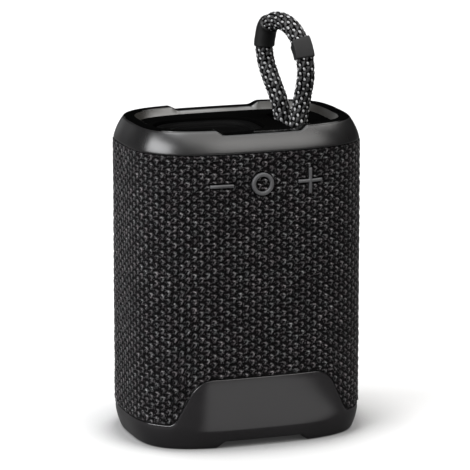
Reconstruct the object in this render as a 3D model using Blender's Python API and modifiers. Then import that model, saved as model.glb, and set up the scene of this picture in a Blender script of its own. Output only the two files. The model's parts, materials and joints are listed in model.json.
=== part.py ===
"""Shower speaker: a fabric-wrapped box speaker with a moulded crown and base, three
symbol buttons, a rope loop round a bar in the top recess and a charging port under a
rubber flap at the back.

Frame: +Z up, front towards -Y, origin on the floor under the middle of the body.
Every length below is in millimetres and is scaled to metres when a mesh is made.
"""

import math

import bmesh
import bpy
from mathutils import Matrix, Vector

MM = 0.001
GAP = 0.3  # between any two pieces that face or touch each other

# Body: a superellipse in plan, the same from base to crown
BODY_WIDTH = 83.0
BODY_DEPTH = 60.0
BODY_HEIGHT = 110.0
PLAN_POWER = 3.14
WALL = 1.6  # moulded caps

# Heights that divide the body
BASE_TOP = 8.5  # lower border of the fabric
CROWN_BOTTOM = 102.4  # upper border of the fabric

# Crown and base side profiles: inset = step + lean * h + curve * h * h
CROWN_STEP, CROWN_LEAN, CROWN_CURVE = 0.30, 0.21, 0.0355
BASE_STEP, BASE_LEAN, BASE_CURVE = 0.30, 0.02, 0.027
PROFILE_STEPS = 4

# Rims and recesses at both ends
RIM_WIDTH = 3.7
RECESS_DEPTH, FOOT_DEPTH = 3.0, 3.8  # above and below
RECESS_DRAFT = 1.8
NOTCH_INNER, NOTCH_OUTER = 13.8, 17.0  # half widths of the middle notches
NOTCH_TOP, NOTCH_FOOT = 1.55, 2.1  # depths of the notches

# Aprons: the raised parts of the base at the front and the back
APRON_TOP = 24.45
APRON_MIDDLE = (27.5, 16.5)  # a point on the sloping side: half width and height
APRON_SLOPE = 28.0  # degrees from vertical
APRON_ROUND, APRON_HOLLOW = 9.0, 3.0  # radii of the upper and the lower bend
APRON_CREASE = 6.5
APRON_STEP = 0.1  # inset of the apron's face

# Fabric and enclosure
FABRIC = 1.2
SHELL_OUT, SHELL_IN = 1.5, 3.7  # insets of the enclosure's two faces
SHELL_LOW, SHELL_HIGH = 9.6, 101.0
PLATE = 1.7  # thickness of the two end plates
GASKET_OUT, GASKET_IN, GASKET_THICK = 1.9, 3.4, 0.8

# Driver, about an axis along Y
DRIVER_Z = 55.0
DRIVER_SEAT = 23.8  # distance of the seat in front of the middle plane
DRIVER_HOLE = 21.5
DRIVER_RECESS = 26.0
BOSS_RADIUS, BOSS_BACK = 28.5, 21.3
TURN_STEPS = 18

# Buttons: distance from the middle, all at one height
BUTTON_Z = 91.6
BUTTONS = {"minus": -15.5, "ring": -1.1, "plus": 16.2}
BUTTON_PROUD = 0.5
MINUS_SIZE, PLUS_SIZE, SYMBOL_STROKE = 8.1, 8.8, 1.05
RING_OUT, RING_IN = 3.9, 2.6
KEY_WIDTH, KEY_HEIGHT, KEY_THICK = 11.0, 8.6, 0.9
BUTTON_TRAVEL = 0.6
BAY = (-22.6, 23.4, 85.8, 97.4)  # x and z limits of the pocket behind the fabric
BAY_FLOOR, BAY_BACK = 22.5, 21.0

# Rope loop and its bar
LOOP_X = 20.0
BAR_Z, BAR_RADIUS = 101.0, 2.5
ROPE_RADIUS = 3.1
ROPE_TURN = 5.85  # centre-line radius round the bar
SLOT_HALF_X, SLOT_HALF_Y = 4.1, 14.3
POCKET_RADIUS = 10.3
CUP_WALL = 1.3
# The rope's centre line, from the joint under the sleeve down the back strand, round
# the bar, up the front strand and over the top
ROPE_ROUTE = (
    (15.3, 12.9, 134.8), (15.1, 13.5, 130.6), (15.4, 12.6, 126.0), (16.2, 10.5, 121.3),
    (17.2, 8.4, 117.0), (18.3, 6.9, 112.6), (19.3, 6.1, 107.0), (20.0, 5.85, 101.0),
    (20.0, 4.1, 96.8), (20.0, 0.0, 95.15), (20.0, -4.1, 96.8), (20.0, -5.85, 101.0),
    (20.7, -5.6, 107.0), (21.6, -5.6, 113.0), (22.3, -6.5, 118.4), (22.7, -7.3, 123.6),
    (22.5, -6.7, 129.4), (21.8, -4.2, 134.6), (20.5, -0.3, 138.7), (18.8, 3.9, 140.7),
    (17.0, 8.6, 140.6), (15.8, 11.7, 138.4),
)  # fmt: skip
SLEEVE_HALF, SLEEVE_RADIUS = 4.4, 3.75
SLEEVE_POINT = (15.35, 12.7, 135.6)
CLAMP_HALF, CLAMP_SIDE, CLAMP_CORNER = 3.3, 3.75, 0.6
CLAMP_TURN = math.radians(12)
CLAMP_POINT = (21.9, -5.2, 132.0)
HOLE_RADIUS = 3.42  # through the sleeve and the clamp

# Radiators: centre x, half length, half width of the outer edge
RADIATOR_POWER = 3.0
TOP_RADIATOR = (-10.0, 22.0, 17.5)
BOTTOM_RADIATOR = (0.0, 24.0, 18.5)
FLANGE, ROLL, LIP = 3.4, 1.7, 0.9  # widths of the clamped edge, half roll and inner lip
SKIN = 0.6
RADIATOR_COUNT = 20

# Charging port and its flap
PORT_Z = 17.1
FLAP_HALF_X, FLAP_HALF_Z, FLAP_THICK = 8.0, 4.6, 1.1
HINGE_RADIUS = 0.55

# Battery, board and fasteners
CELL_RADIUS, CELL_LENGTH = 9.2, 65.2
CELL_AT = (18.0, 13.0, 17.0)
BOARD = (-24.0, 8.0, -14.0, 19.5)
BOARD_Z, BOARD_THICK = 14.0, 1.2
BASE_POSTS = [(sx * 27.5, sy * 13.5) for sx in (-1, 1) for sy in (-1, 1)]
PLATE_POSTS = [(sx * 31.5, sy * 17.6) for sx in (-1, 1) for sy in (-1, 1)]
BOARD_POSTS = [(-21.5, -10.5), (-21.5, 11.0)]
POST_RADIUS = 3.0
SCREW_HEAD, SCREW_SHANK, SCREW_HOLE = 1.9, 0.9, 1.25


# ---------------------------------------------------------------- collections, materials


def clear_scene():
    for obj in list(bpy.data.objects):
        bpy.data.objects.remove(obj, do_unlink=True)


def new_collection(name):
    collection = bpy.data.collections.new(name)
    bpy.context.scene.collection.children.link(collection)
    return collection


def make_material(name, color, roughness, metallic=0.0):
    material = bpy.data.materials.new(name)
    material.use_nodes = True
    shader = material.node_tree.nodes["Principled BSDF"]
    shader.inputs["Base Color"].default_value = (*color, 1.0)
    shader.inputs["Roughness"].default_value = roughness
    shader.inputs["Metallic"].default_value = metallic
    return material


def make_materials():
    return {
        "shell": make_material("satin_black_plastic", (0.03, 0.03, 0.033), 0.35),
        "fabric": make_material("knitted_fabric", (0.016, 0.016, 0.016), 0.9),
        "symbol": make_material("grey_rubber", (0.09, 0.09, 0.095), 0.6),
        "rubber": make_material("black_rubber", (0.012, 0.012, 0.012), 0.6),
        "cone": make_material("paper_cone", (0.04, 0.04, 0.045), 0.7),
        "steel": make_material("plated_steel", (0.55, 0.55, 0.56), 0.3, 1.0),
        "magnet": make_material("ferrite", (0.07, 0.07, 0.075), 0.5),
        "copper": make_material("copper_wire", (0.6, 0.3, 0.18), 0.35, 1.0),
        "board": make_material("circuit_board", (0.01, 0.07, 0.03), 0.45),
        "cell": make_material("cell_wrap", (0.05, 0.16, 0.4), 0.4),
        "rope": make_material("braided_rope", (0.02, 0.02, 0.02), 0.85),
        "clamp": make_material("grey_clamp", (0.045, 0.045, 0.048), 0.55),
        "wire": make_material("wire_sleeve", (0.35, 0.02, 0.02), 0.5),
    }


# ---------------------------------------------------------------- plan outline


def superellipse(angle, half_x, half_y, power):
    cos, sin = math.cos(angle), math.sin(angle)
    x = half_x * math.copysign(abs(cos) ** (2 / power), cos)
    y = half_y * math.copysign(abs(sin) ** (2 / power), sin)
    return x, y


def quadrant_points():
    """Points of the body's plan from the middle of the back to the middle of the right."""
    half_x, half_y = BODY_WIDTH / 2, BODY_DEPTH / 2
    along_x = (0.0, NOTCH_INNER, NOTCH_OUTER, 20.5, 23.0, 25.2, 28.0, 30.7, 33.6, 36.2)
    along_y = (18.6, 12.0, 5.0)
    points = [(x, half_y * (1 - (x / half_x) ** PLAN_POWER) ** (1 / PLAN_POWER)) for x in along_x]
    points += [(half_x * (1 - (y / half_y) ** PLAN_POWER) ** (1 / PLAN_POWER), y) for y in along_y]
    return points


def plan_points():
    """The whole plan, clockwise from the middle of the back, with 13 points a quadrant."""
    quarter = quadrant_points() + [(BODY_WIDTH / 2, 0.0)]
    right_back = quarter[:-1]
    right_front = [(x, -y) for x, y in reversed(quarter)][:-1]
    left_front = [(-x, -y) for x, y in right_back]
    left_back = [(-x, y) for x, y in reversed(quarter)][:-1]
    return right_back + right_front + left_front + left_back


PLAN = plan_points()
HIDDEN_PLAN = PLAN[::2]  # enough for what the fabric and the caps cover


def plan_normal(x, y):
    half_x, half_y = BODY_WIDTH / 2, BODY_DEPTH / 2
    nx = math.copysign(abs(x / half_x) ** (PLAN_POWER - 1), x) / half_x
    ny = math.copysign(abs(y / half_y) ** (PLAN_POWER - 1), y) / half_y
    length = math.hypot(nx, ny)
    return nx / length, ny / length


def plan_ring(inset, height, plan=PLAN):
    """The plan moved inwards. inset and height are numbers or functions of the plan's x."""
    ring = []
    for x, y in plan:
        nx, ny = plan_normal(x, y)
        by = inset(x) if callable(inset) else inset
        z = height(x) if callable(height) else height
        ring.append((x - nx * by, y - ny * by, z))
    return ring


def side_depth(x, inset=0.0):
    """Distance of the front or back surface from the middle plane, at x."""
    half_x, half_y = BODY_WIDTH / 2 - inset, BODY_DEPTH / 2 - inset
    return half_y * (1 - abs(x / half_x) ** PLAN_POWER) ** (1 / PLAN_POWER)


def notch(x, depth):
    """How far the rim drops at x."""
    share = (NOTCH_OUTER - abs(x)) / (NOTCH_OUTER - NOTCH_INNER)
    return depth * min(max(share, 0.0), 1.0)


def apron_edge(x):
    """Height of the border between the fabric and the base at x."""
    x = abs(x)
    slope = math.tan(math.radians(90 - APRON_SLOPE))
    reach = math.tan(math.radians(90 - APRON_SLOPE) / 2)
    top_x = APRON_MIDDLE[0] - (APRON_TOP - APRON_MIDDLE[1]) / slope
    low_x = APRON_MIDDLE[0] + (APRON_MIDDLE[1] - BASE_TOP) / slope
    round_x = top_x - APRON_ROUND * reach
    hollow_x = low_x + APRON_HOLLOW * reach
    if x <= round_x:
        return APRON_TOP
    if x >= hollow_x:
        return BASE_TOP
    if x - round_x < APRON_ROUND * math.cos(math.radians(APRON_SLOPE)):
        return APRON_TOP - APRON_ROUND + math.sqrt(APRON_ROUND**2 - (x - round_x) ** 2)
    if hollow_x - x < APRON_HOLLOW * math.cos(math.radians(APRON_SLOPE)):
        return BASE_TOP + APRON_HOLLOW - math.sqrt(APRON_HOLLOW**2 - (hollow_x - x) ** 2)
    return APRON_MIDDLE[1] - slope * (x - APRON_MIDDLE[0])


# ---------------------------------------------------------------- mesh helpers


def add_object(name, bm, material, group=None):
    """Turns a bmesh in millimetres into a named object in metres."""
    bmesh.ops.recalc_face_normals(bm, faces=bm.faces[:])
    bmesh.ops.scale(bm, vec=(MM, MM, MM), verts=bm.verts[:])
    mesh = bpy.data.meshes.new(name)
    bm.to_mesh(mesh)
    bm.free()
    obj = bpy.data.objects.new(name, mesh)
    (group or PARTS).objects.link(obj)
    if material:
        mesh.materials.append(MATERIALS[material])
    return obj


def loft_mesh(rings, closed=False):
    """Quads between rings of equal count. An open row of rings gets a cap at each end."""
    bm = bmesh.new()
    rows = [[bm.verts.new(point) for point in ring] for ring in rings]
    count = len(rows[0])
    pairs = list(zip(rows, rows[1:]))
    if closed:
        pairs.append((rows[-1], rows[0]))
    for low, high in pairs:
        for i in range(count):
            j = (i + 1) % count
            bm.faces.new((low[i], low[j], high[j], high[i]))
    if not closed:
        bm.faces.new(rows[0])
        bm.faces.new(rows[-1])
    bmesh.ops.remove_doubles(bm, verts=bm.verts[:], dist=0.001)
    return bm


def loft(name, rings, material, closed=False, group=None):
    return add_object(name, loft_mesh(rings, closed), material, group)


def box_mesh(x, y, z):
    """A box from its low and high limits along each axis."""
    bm = bmesh.new()
    size = (x[1] - x[0], y[1] - y[0], z[1] - z[0])
    middle = (sum(x) / 2, sum(y) / 2, sum(z) / 2)
    bmesh.ops.create_cube(bm, size=1.0, matrix=Matrix.Translation(middle) @ Matrix.Diagonal((*size, 1)))
    return bm


def box(name, x, y, z, material=None, group=None):
    return add_object(name, box_mesh(x, y, z), material, group)


AXIS_TURN = {
    "X": Matrix.Rotation(math.radians(90), 4, "Y"),
    "Y": Matrix.Rotation(math.radians(90), 4, "X"),
    "Z": Matrix.Identity(4),
}


def cylinder_mesh(radius, start, length, axis="Z", sides=24):
    """A cylinder from its start point, along +X, +Y or +Z."""
    bm = bmesh.new()
    step = {"X": Vector((1, 0, 0)), "Y": Vector((0, 1, 0)), "Z": Vector((0, 0, 1))}[axis]
    place = Matrix.Translation(Vector(start) + step * length / 2) @ AXIS_TURN[axis]
    bmesh.ops.create_cone(
        bm, cap_ends=True, segments=sides, radius1=radius, radius2=radius, depth=length, matrix=place
    )
    return bm


def cylinder(name, radius, start, length, axis="Z", sides=24, material=None, group=None):
    return add_object(name, cylinder_mesh(radius, start, length, axis, sides), material, group)


def combine(obj, tool, operation):
    """Adds an exact Boolean with a tool object, which is hidden from the model."""
    tool.hide_render = True
    tool.display_type = "WIRE"
    modifier = obj.modifiers.new(operation.lower() + "_" + tool.name, "BOOLEAN")
    modifier.operation = operation
    modifier.object = tool
    modifier.solver = "EXACT"
    return obj


def cut(obj, *tools):
    for tool in tools:
        combine(obj, tool, "DIFFERENCE")
    return obj


def join(obj, *tools):
    for tool in tools:
        combine(obj, tool, "UNION")
    return obj


def turned(name, profile, material, location, steps=TURN_STEPS):
    """A profile of (radius, distance forward) turned about an axis towards the front."""
    bm = bmesh.new()
    verts = [bm.verts.new((radius, 0.0, forward)) for radius, forward in profile]
    for start, end in zip(verts, verts[1:]):
        bm.edges.new((start, end))
    if profile[0][0] > 0:
        bm.edges.new((verts[-1], verts[0]))
    bmesh.ops.scale(bm, vec=(MM, MM, MM), verts=bm.verts[:])
    mesh = bpy.data.meshes.new(name)
    bm.to_mesh(mesh)
    bm.free()
    mesh.materials.append(MATERIALS[material])
    obj = bpy.data.objects.new(name, mesh)
    PARTS.objects.link(obj)
    obj.location = Vector(location) * MM
    obj.rotation_euler = (math.radians(90), 0, 0)
    screw = obj.modifiers.new("turn", "SCREW")
    screw.steps = screw.render_steps = steps
    screw.use_merge_vertices = True
    screw.merge_threshold = 0.00002
    return obj


def plain_ring(centre_x, half_x, half_y, height, power=RADIATOR_POWER, count=RADIATOR_COUNT):
    points = [superellipse(2 * math.pi * i / count, half_x, half_y, power) for i in range(count)]
    return [(centre_x + x, y, height) for x, y in points]


# ---------------------------------------------------------------- crown and base


def crown_inset(height):
    return CROWN_STEP + CROWN_LEAN * height + CROWN_CURVE * height**2


def base_inset(height):
    return BASE_STEP + BASE_LEAN * height + BASE_CURVE * height**2


def rim_rings(rim_inset, rim_height, floor_height):
    """The rim's inner edge and the foot of the recess wall."""
    inner = rim_inset + RIM_WIDTH
    return [plan_ring(inner, rim_height), plan_ring(inner + RECESS_DRAFT, floor_height)]


def loop_slot(name, low, high):
    """A slot with round ends for the rope, cut through the crown's floor."""
    ring = []
    sides = 12
    for end in (1, -1):
        for i in range(sides + 1):
            angle = math.pi * i / sides + (0 if end > 0 else math.pi)
            x = LOOP_X + SLOT_HALF_X * math.cos(angle)
            y = end * (SLOT_HALF_Y - SLOT_HALF_X) + SLOT_HALF_X * math.sin(angle)
            ring.append((x, y))
    return loft(name, [[(x, y, z) for x, y in ring] for z in (low, high)], None, group=TOOLS)


def make_top_cap():
    floor_top = BODY_HEIGHT - RECESS_DEPTH
    floor_low = floor_top - WALL
    rise = BODY_HEIGHT - CROWN_BOTTOM
    rim_inset = crown_inset(rise)
    rim_height = lambda x: BODY_HEIGHT - notch(x, NOTCH_TOP)
    rings = rim_rings(rim_inset, rim_height, floor_top)[::-1]
    for i in range(PROFILE_STEPS, -1, -1):
        share = i / PROFILE_STEPS
        level = lambda x, s=share: CROWN_BOTTOM + s * (rim_height(x) - CROWN_BOTTOM)
        inset = lambda x, z=level: crown_inset(z(x) - CROWN_BOTTOM)
        rings.append(plan_ring(inset, level))
    lip = 1.7
    rings.append(plan_ring(lip, CROWN_BOTTOM))
    rings.append(plan_ring(lip, floor_low - 1.1))
    rings.append(plan_ring(lip + 1.5, floor_low))
    cap = loft("top_cap", rings, "shell")
    centre, half_x, half_y = TOP_RADIATOR
    opening = [
        plain_ring(centre, half_x - FLANGE, half_y - FLANGE, z)
        for z in (floor_low - 1, floor_top + 1)
    ]
    cut(cap, loft("top_opening_tool", opening, None, group=TOOLS))
    cut(cap, loop_slot("loop_slot_tool", floor_low - 1, floor_top + 1))
    return cap


def flap_window(inset, spare=GAP):
    """x and z limits of the opening for the flap in the rear apron."""
    x = (-FLAP_HALF_X - spare - inset, FLAP_HALF_X + spare + inset)
    z = (PORT_Z - FLAP_HALF_Z - HINGE_RADIUS - spare, PORT_Z + FLAP_HALF_Z + spare + inset)
    return x, z


def make_bottom_cap():
    floor_low = FOOT_DEPTH
    floor_top = floor_low + WALL
    rim_inset = base_inset(BASE_TOP)
    rim_height = lambda x: notch(x, NOTCH_FOOT)
    start = lambda x: BASE_TOP + (APRON_CREASE - BASE_TOP) * apron_share(x)
    rings = rim_rings(rim_inset, rim_height, floor_low)[::-1]
    for i in range(PROFILE_STEPS, -1, -1):
        share = i / PROFILE_STEPS
        level = lambda x, s=share: start(x) + s * (rim_height(x) - start(x))
        inset = lambda x, s=share: base_inset(s * (BASE_TOP - rim_height(x)))
        rings.append(plan_ring(inset, level))
    rings.append(plan_ring(lambda x: BASE_STEP + (APRON_STEP - BASE_STEP) * apron_share(x), apron_edge))
    rings.append(plan_ring(FABRIC, apron_edge))
    rings.append(plan_ring(FABRIC, floor_top + 1.0))
    rings.append(plan_ring(FABRIC + 2.0, floor_top))
    cap = loft("bottom_cap", rings, "shell")
    centre, half_x, half_y = BOTTOM_RADIATOR
    opening = [
        plain_ring(centre, half_x - FLANGE, half_y - FLANGE, z)
        for z in (floor_low - 1, floor_top + 1)
    ]
    cut(cap, loft("bottom_opening_tool", opening, None, group=TOOLS))
    for i, (x, y) in enumerate(BASE_POSTS):
        name = f"base_screw_tool_{i + 1}"
        cut(cap, cylinder(name, SCREW_HOLE, (x, y, 1), 8, sides=10, group=TOOLS))
    x, z = flap_window(0.0)
    cut(cap, box("flap_window_tool", x, (25, 35), z, group=TOOLS))
    return cap


def apron_share(x):
    """1 where the apron stands at full height, 0 where there is none."""
    return (apron_edge(x) - BASE_TOP) / (APRON_TOP - BASE_TOP)


# ---------------------------------------------------------------- fabric and enclosure


def make_fabric_sleeve():
    low = lambda x: apron_edge(x) + GAP
    high = CROWN_BOTTOM - GAP
    rings = [
        plan_ring(0.0, low),
        plan_ring(0.0, high),
        plan_ring(FABRIC, high),
        plan_ring(FABRIC, low),
    ]
    sleeve = loft("fabric_sleeve", rings, "fabric", closed=True)
    for name, x in BUTTONS.items():
        tools = symbol_tools(name, x, GAP, "_tool", (-35.0, -24.0))
        cut(sleeve, *tools)
    return sleeve


def make_enclosure_shell():
    outer = [plan_ring(SHELL_OUT, z, HIDDEN_PLAN) for z in (SHELL_LOW, SHELL_HIGH)]
    inner = [plan_ring(SHELL_IN, z, HIDDEN_PLAN) for z in (SHELL_LOW - 1, SHELL_HIGH + 1)]
    shell = loft("enclosure_shell", outer, "rubber")
    room = loft("room_tool", inner, None, group=TOOLS)
    boss = cylinder("boss_tool", BOSS_RADIUS, (0, -40, DRIVER_Z), 40 - BOSS_BACK, "Y", 28, group=TOOLS)
    left, right, low, high = BAY
    bay_boss = box(
        "bay_boss_tool", (left - 1.5, right + 1.5), (-40, -BAY_BACK), (low - 1.5, high + 1.5), group=TOOLS
    )
    cut(room, boss, bay_boss)
    for i, (x, y) in enumerate(BASE_POSTS):
        post = cylinder(f"post_tool_{i + 1}", POST_RADIUS, (x, y, SHELL_LOW - 2), 7.9, sides=10, group=TOOLS)
        side = math.copysign(1, x)
        limits = sorted((x, side * 42))
        rib = box(f"rib_tool_{i + 1}", limits, (y - 1.2, y + 1.2), (SHELL_LOW - 2, 15.5), group=TOOLS)
        cut(room, post, rib)
    for i, (x, y) in enumerate(PLATE_POSTS):
        name = f"plate_post_tool_{i + 1}"
        cut(room, cylinder(name, POST_RADIUS, (x, y, 92), 12, sides=10, group=TOOLS))
    cut(shell, room)
    cut(
        shell,
        cylinder("seat_tool", DRIVER_RECESS, (0, -40, DRIVER_Z), 40 - DRIVER_SEAT, "Y", 28, group=TOOLS),
        cylinder("cone_tool", DRIVER_HOLE, (0, -40, DRIVER_Z), 25, "Y", 24, group=TOOLS),
        box("bay_tool", (left, right), (-40, -BAY_FLOOR), (low, high), group=TOOLS),
        cylinder("lead_tool", 1.6, (-19, -24, 88), 5, "Y", 12, group=TOOLS),
        box("port_tool", (-5.4, 5.4), (22, 32), (PORT_Z - 2.5, PORT_Z + 2.9), group=TOOLS),
    )
    for i, (x, y) in enumerate(BASE_POSTS):
        name = f"base_post_hole_{i + 1}"
        cut(shell, cylinder(name, SCREW_HOLE, (x, y, SHELL_LOW - 1), 5.4, sides=10, group=TOOLS))
    for i, (x, y) in enumerate(PLATE_POSTS):
        name = f"plate_post_hole_{i + 1}"
        cut(shell, cylinder(name, SCREW_HOLE, (x, y, 95), 8, sides=10, group=TOOLS))
    return shell


def make_gasket(name, low):
    high = low + GASKET_THICK
    corners = [(GASKET_OUT, low), (GASKET_OUT, high), (GASKET_IN, high), (GASKET_IN, low)]
    rings = [plan_ring(inset, z, HIDDEN_PLAN) for inset, z in corners]
    return loft(name, rings, "rubber", closed=True)


def make_end_plate(name, low, radiator):
    faces = [plan_ring(2.0, z, HIDDEN_PLAN) for z in (low, low + PLATE)]
    plate = loft(name, faces, "rubber")
    centre, half_x, half_y = radiator
    opening = [plain_ring(centre, half_x - FLANGE, half_y - FLANGE, z) for z in (low - 1, low + PLATE + 1)]
    cut(plate, loft(name + "_opening_tool", opening, None, group=TOOLS))
    return plate


def make_top_plate():
    low = SHELL_HIGH + 0.8 + 2 * GAP
    plate = make_end_plate("enclosure_top_plate", low, TOP_RADIATOR)
    half_x = SLOT_HALF_X + CUP_WALL
    half_y = SLOT_HALF_Y + CUP_WALL
    cup_low = BAR_Z - POCKET_RADIUS - CUP_WALL
    cup = box(
        "cup_tool", (LOOP_X - half_x, LOOP_X + half_x), (-half_y, half_y), (cup_low, low + PLATE), group=TOOLS
    )
    join(plate, cup)
    pocket = cylinder(
        "pocket_tool", POCKET_RADIUS, (LOOP_X - SLOT_HALF_X, 0, BAR_Z), 2 * SLOT_HALF_X, "X", 32, group=TOOLS
    )
    mouth = loop_slot("mouth_tool", BAR_Z - 2, low + PLATE + 1)
    start, reach = (LOOP_X - half_x - 1, 0, BAR_Z), 2 * half_x + 2
    bar_hole = cylinder("bar_hole_tool", BAR_RADIUS + GAP, start, reach, "X", 20, group=TOOLS)
    cut(plate, pocket, mouth, bar_hole)
    for i, (x, y) in enumerate(PLATE_POSTS):
        cut(
            plate,
            cylinder(f"plate_screw_tool_{i + 1}", SCREW_HOLE, (x, y, low - 1), 5, sides=10, group=TOOLS),
        )
    return plate


def make_bottom_plate():
    low = SHELL_LOW - GAP - 0.8 - GAP - PLATE
    plate = make_end_plate("enclosure_bottom_plate", low, BOTTOM_RADIATOR)
    for i, (x, y) in enumerate(BOARD_POSTS):
        height = BOARD_Z - GAP - low - 0.5
        post = cylinder(f"standoff_tool_{i + 1}", 2.3, (x, y, low + 0.5), height, sides=10, group=TOOLS)
        hole = cylinder(f"standoff_hole_{i + 1}", SCREW_HOLE, (x, y, low + 1.2), 9, sides=10, group=TOOLS)
        join(plate, post)
        cut(plate, hole)
    for i, (x, y) in enumerate(BASE_POSTS):
        cut(
            plate,
            cylinder(f"bottom_plate_hole_{i + 1}", SCREW_HOLE, (x, y, low - 1), 5, sides=10, group=TOOLS),
        )
    return plate


# ---------------------------------------------------------------- driver and radiators


def make_driver():
    """The driver's pieces, with distances measured forward from the middle plane."""
    at = (0.0, 0.0, DRIVER_Z)
    profiles = {
        "driver_basket": (
            "rubber",
            [(25.6, 25.3), (25.6, 24.1), (21.2, 24.1), (17.6, 17.0), (16.6, 13.2), (8.6, 13.2)]
            + [(8.6, 14.2), (15.7, 14.2), (16.7, 17.4), (20.4, 24.6), (20.4, 25.3)],
        ),
        "driver_cone": ("cone", [(16.2, 25.3), (16.2, 24.7), (8.5, 18.9), (8.5, 19.6)]),
        "driver_dust_cap": (
            "cone",
            [(0.0, 22.6), (4.0, 22.1), (6.6, 21.0), (8.0, 20.0), (7.4, 20.0), (6.2, 20.6)]
            + [(3.8, 21.6), (0.0, 22.1)],
        ),
        "driver_voice_coil": ("copper", [(8.1, 19.3), (8.1, 9.0), (7.6, 9.0), (7.6, 19.3)]),
        "driver_spider": (
            "cone",
            [(15.3, 15.9), (15.3, 15.4), (13.5, 15.0), (11.8, 15.8), (10.1, 15.0), (8.5, 15.4)]
            + [(8.5, 15.9), (10.1, 15.5), (11.8, 16.3), (13.5, 15.5)],
        ),
        "driver_front_plate": ("steel", [(15.5, 12.9), (15.5, 10.4), (8.7, 10.4), (8.7, 12.9)]),
        "driver_magnet": ("magnet", [(16.5, 10.1), (16.5, 4.2), (9.6, 4.2), (9.6, 10.1)]),
        "driver_yoke": (
            "steel",
            [(0.0, 12.9), (7.1, 12.9), (7.1, 3.9), (15.5, 3.9), (15.5, 1.5), (0.0, 1.5)],
        ),
    }
    outer, inner = 1.9, 1.4
    middle = 18.0
    arc = [math.pi * i / 4 for i in range(5)]
    roll_front = [(middle + outer * math.cos(a), 25.9 + outer * 0.8 * math.sin(a)) for a in arc]
    roll_back = [(middle + inner * math.cos(a), 25.9 + inner * 0.8 * math.sin(a)) for a in arc]
    surround = [(23.0, 26.3), (23.0, 25.7), (middle + inner, 25.7)]
    surround += roll_back[1:-1]
    surround += [(middle - inner, 25.7), (16.5, 25.7), (16.5, 26.2)]
    surround += roll_front[::-1][1:-1] + [(middle + outer, 26.3)]
    profiles["driver_surround"] = ("rubber", surround)
    for name, (material, profile) in profiles.items():
        turned(name, profile, material, at)


def make_radiator(name, radiator, low, out):
    """A clamped rubber surround with a half roll, and a weighted plate. out is 1 or -1."""
    centre, half_x, half_y = radiator
    start = FLANGE + 0.2
    middle = start + ROLL
    arc = [math.pi * i / 4 for i in range(5)]
    section = [(0.0, 0.0), (0.0, SKIN)]
    section += [(middle - ROLL * math.cos(a), SKIN + ROLL * 0.75 * math.sin(a)) for a in arc]
    end = middle + ROLL + LIP
    section += [(end, SKIN), (end, 0.0)]
    thin = ROLL - SKIN
    section += [(middle + thin * math.cos(a), ROLL * 0.75 * math.sin(a) * thin / ROLL) for a in arc]
    rings = [
        plain_ring(centre, half_x - inset, half_y - inset, low + (rise if out > 0 else SKIN - rise))
        for inset, rise in section
    ]
    loft(name + "_surround", rings, "rubber", closed=True)
    hub = end + GAP
    plate = [plain_ring(centre, half_x - hub, half_y - hub, z) for z in (low - 0.3, low + SKIN + 0.3)]
    loft(name + "_plate", plate, "magnet")


# ---------------------------------------------------------------- buttons


def follow_front(bm):
    """Moves points given as (x, depth behind the surface, z) onto the curved front."""
    for vert in bm.verts:
        vert.co.y -= side_depth(vert.co.x)
    return bm


def symbol_bars(symbol, x, spare):
    """The bars of a symbol as x and z limits."""
    size = MINUS_SIZE if symbol == "minus" else PLUS_SIZE
    half, stroke = size / 2 + spare, SYMBOL_STROKE / 2 + spare
    across = ((x - half, x + half), (BUTTON_Z - stroke, BUTTON_Z + stroke))
    upright = ((x - stroke, x + stroke), (BUTTON_Z - half, BUTTON_Z + half))
    return {"minus": [across], "plus": [across, upright]}.get(symbol, [])


def symbol_tools(symbol, x, spare, suffix, y):
    """Straight cutters in the shape of a symbol. The ring's is a whole disc."""
    if symbol == "ring":
        disc = cylinder(
            symbol + suffix, RING_OUT + spare, (x, y[0], BUTTON_Z), y[1] - y[0], "Y", 28, group=TOOLS
        )
        return [disc]
    bars = symbol_bars(symbol, x, spare)
    return [box(f"{symbol}{suffix}_{i + 1}", bx, y, bz, group=TOOLS) for i, (bx, bz) in enumerate(bars)]


def make_button(symbol, x):
    """A symbol that stands through the fabric, its key behind the fabric and a plunger."""
    key_back = FABRIC + GAP + KEY_THICK
    key = follow_front(
        box_mesh(
            (x - KEY_WIDTH / 2, x + KEY_WIDTH / 2),
            (FABRIC + GAP, key_back),
            (BUTTON_Z - KEY_HEIGHT / 2, BUTTON_Z + KEY_HEIGHT / 2),
        )
    )
    button = add_object(symbol + "_button", key, "symbol")
    for i, (bx, bz) in enumerate(symbol_bars(symbol, x, 0.0)):
        bar = follow_front(box_mesh(bx, (-BUTTON_PROUD, key_back - 0.3), bz))
        join(button, add_object(f"{symbol}_bar_{i + 1}", bar, None, TOOLS))
    if symbol == "ring":
        front = -side_depth(x)
        disc = cylinder(
            "ring_disc", RING_OUT, (x, front - BUTTON_PROUD, BUTTON_Z), key_back, "Y", 28, group=TOOLS
        )
        hollow = cylinder("ring_hollow", RING_IN, (x, front - 2, BUTTON_Z), 2.6, "Y", 24, group=TOOLS)
        join(button, disc)
        cut(button, hollow)
    switch_top = BAY_FLOOR + 0.4 + 0.9 + GAP + 1.9
    reach = -(switch_top + BUTTON_TRAVEL + 0.15)
    start = -side_depth(x) + key_back - 0.4
    plunger = cylinder(
        symbol + "_plunger", 1.2, (x, start, BUTTON_Z), reach - start, "Y", 12, group=TOOLS
    )
    join(button, plunger)
    return button


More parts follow.
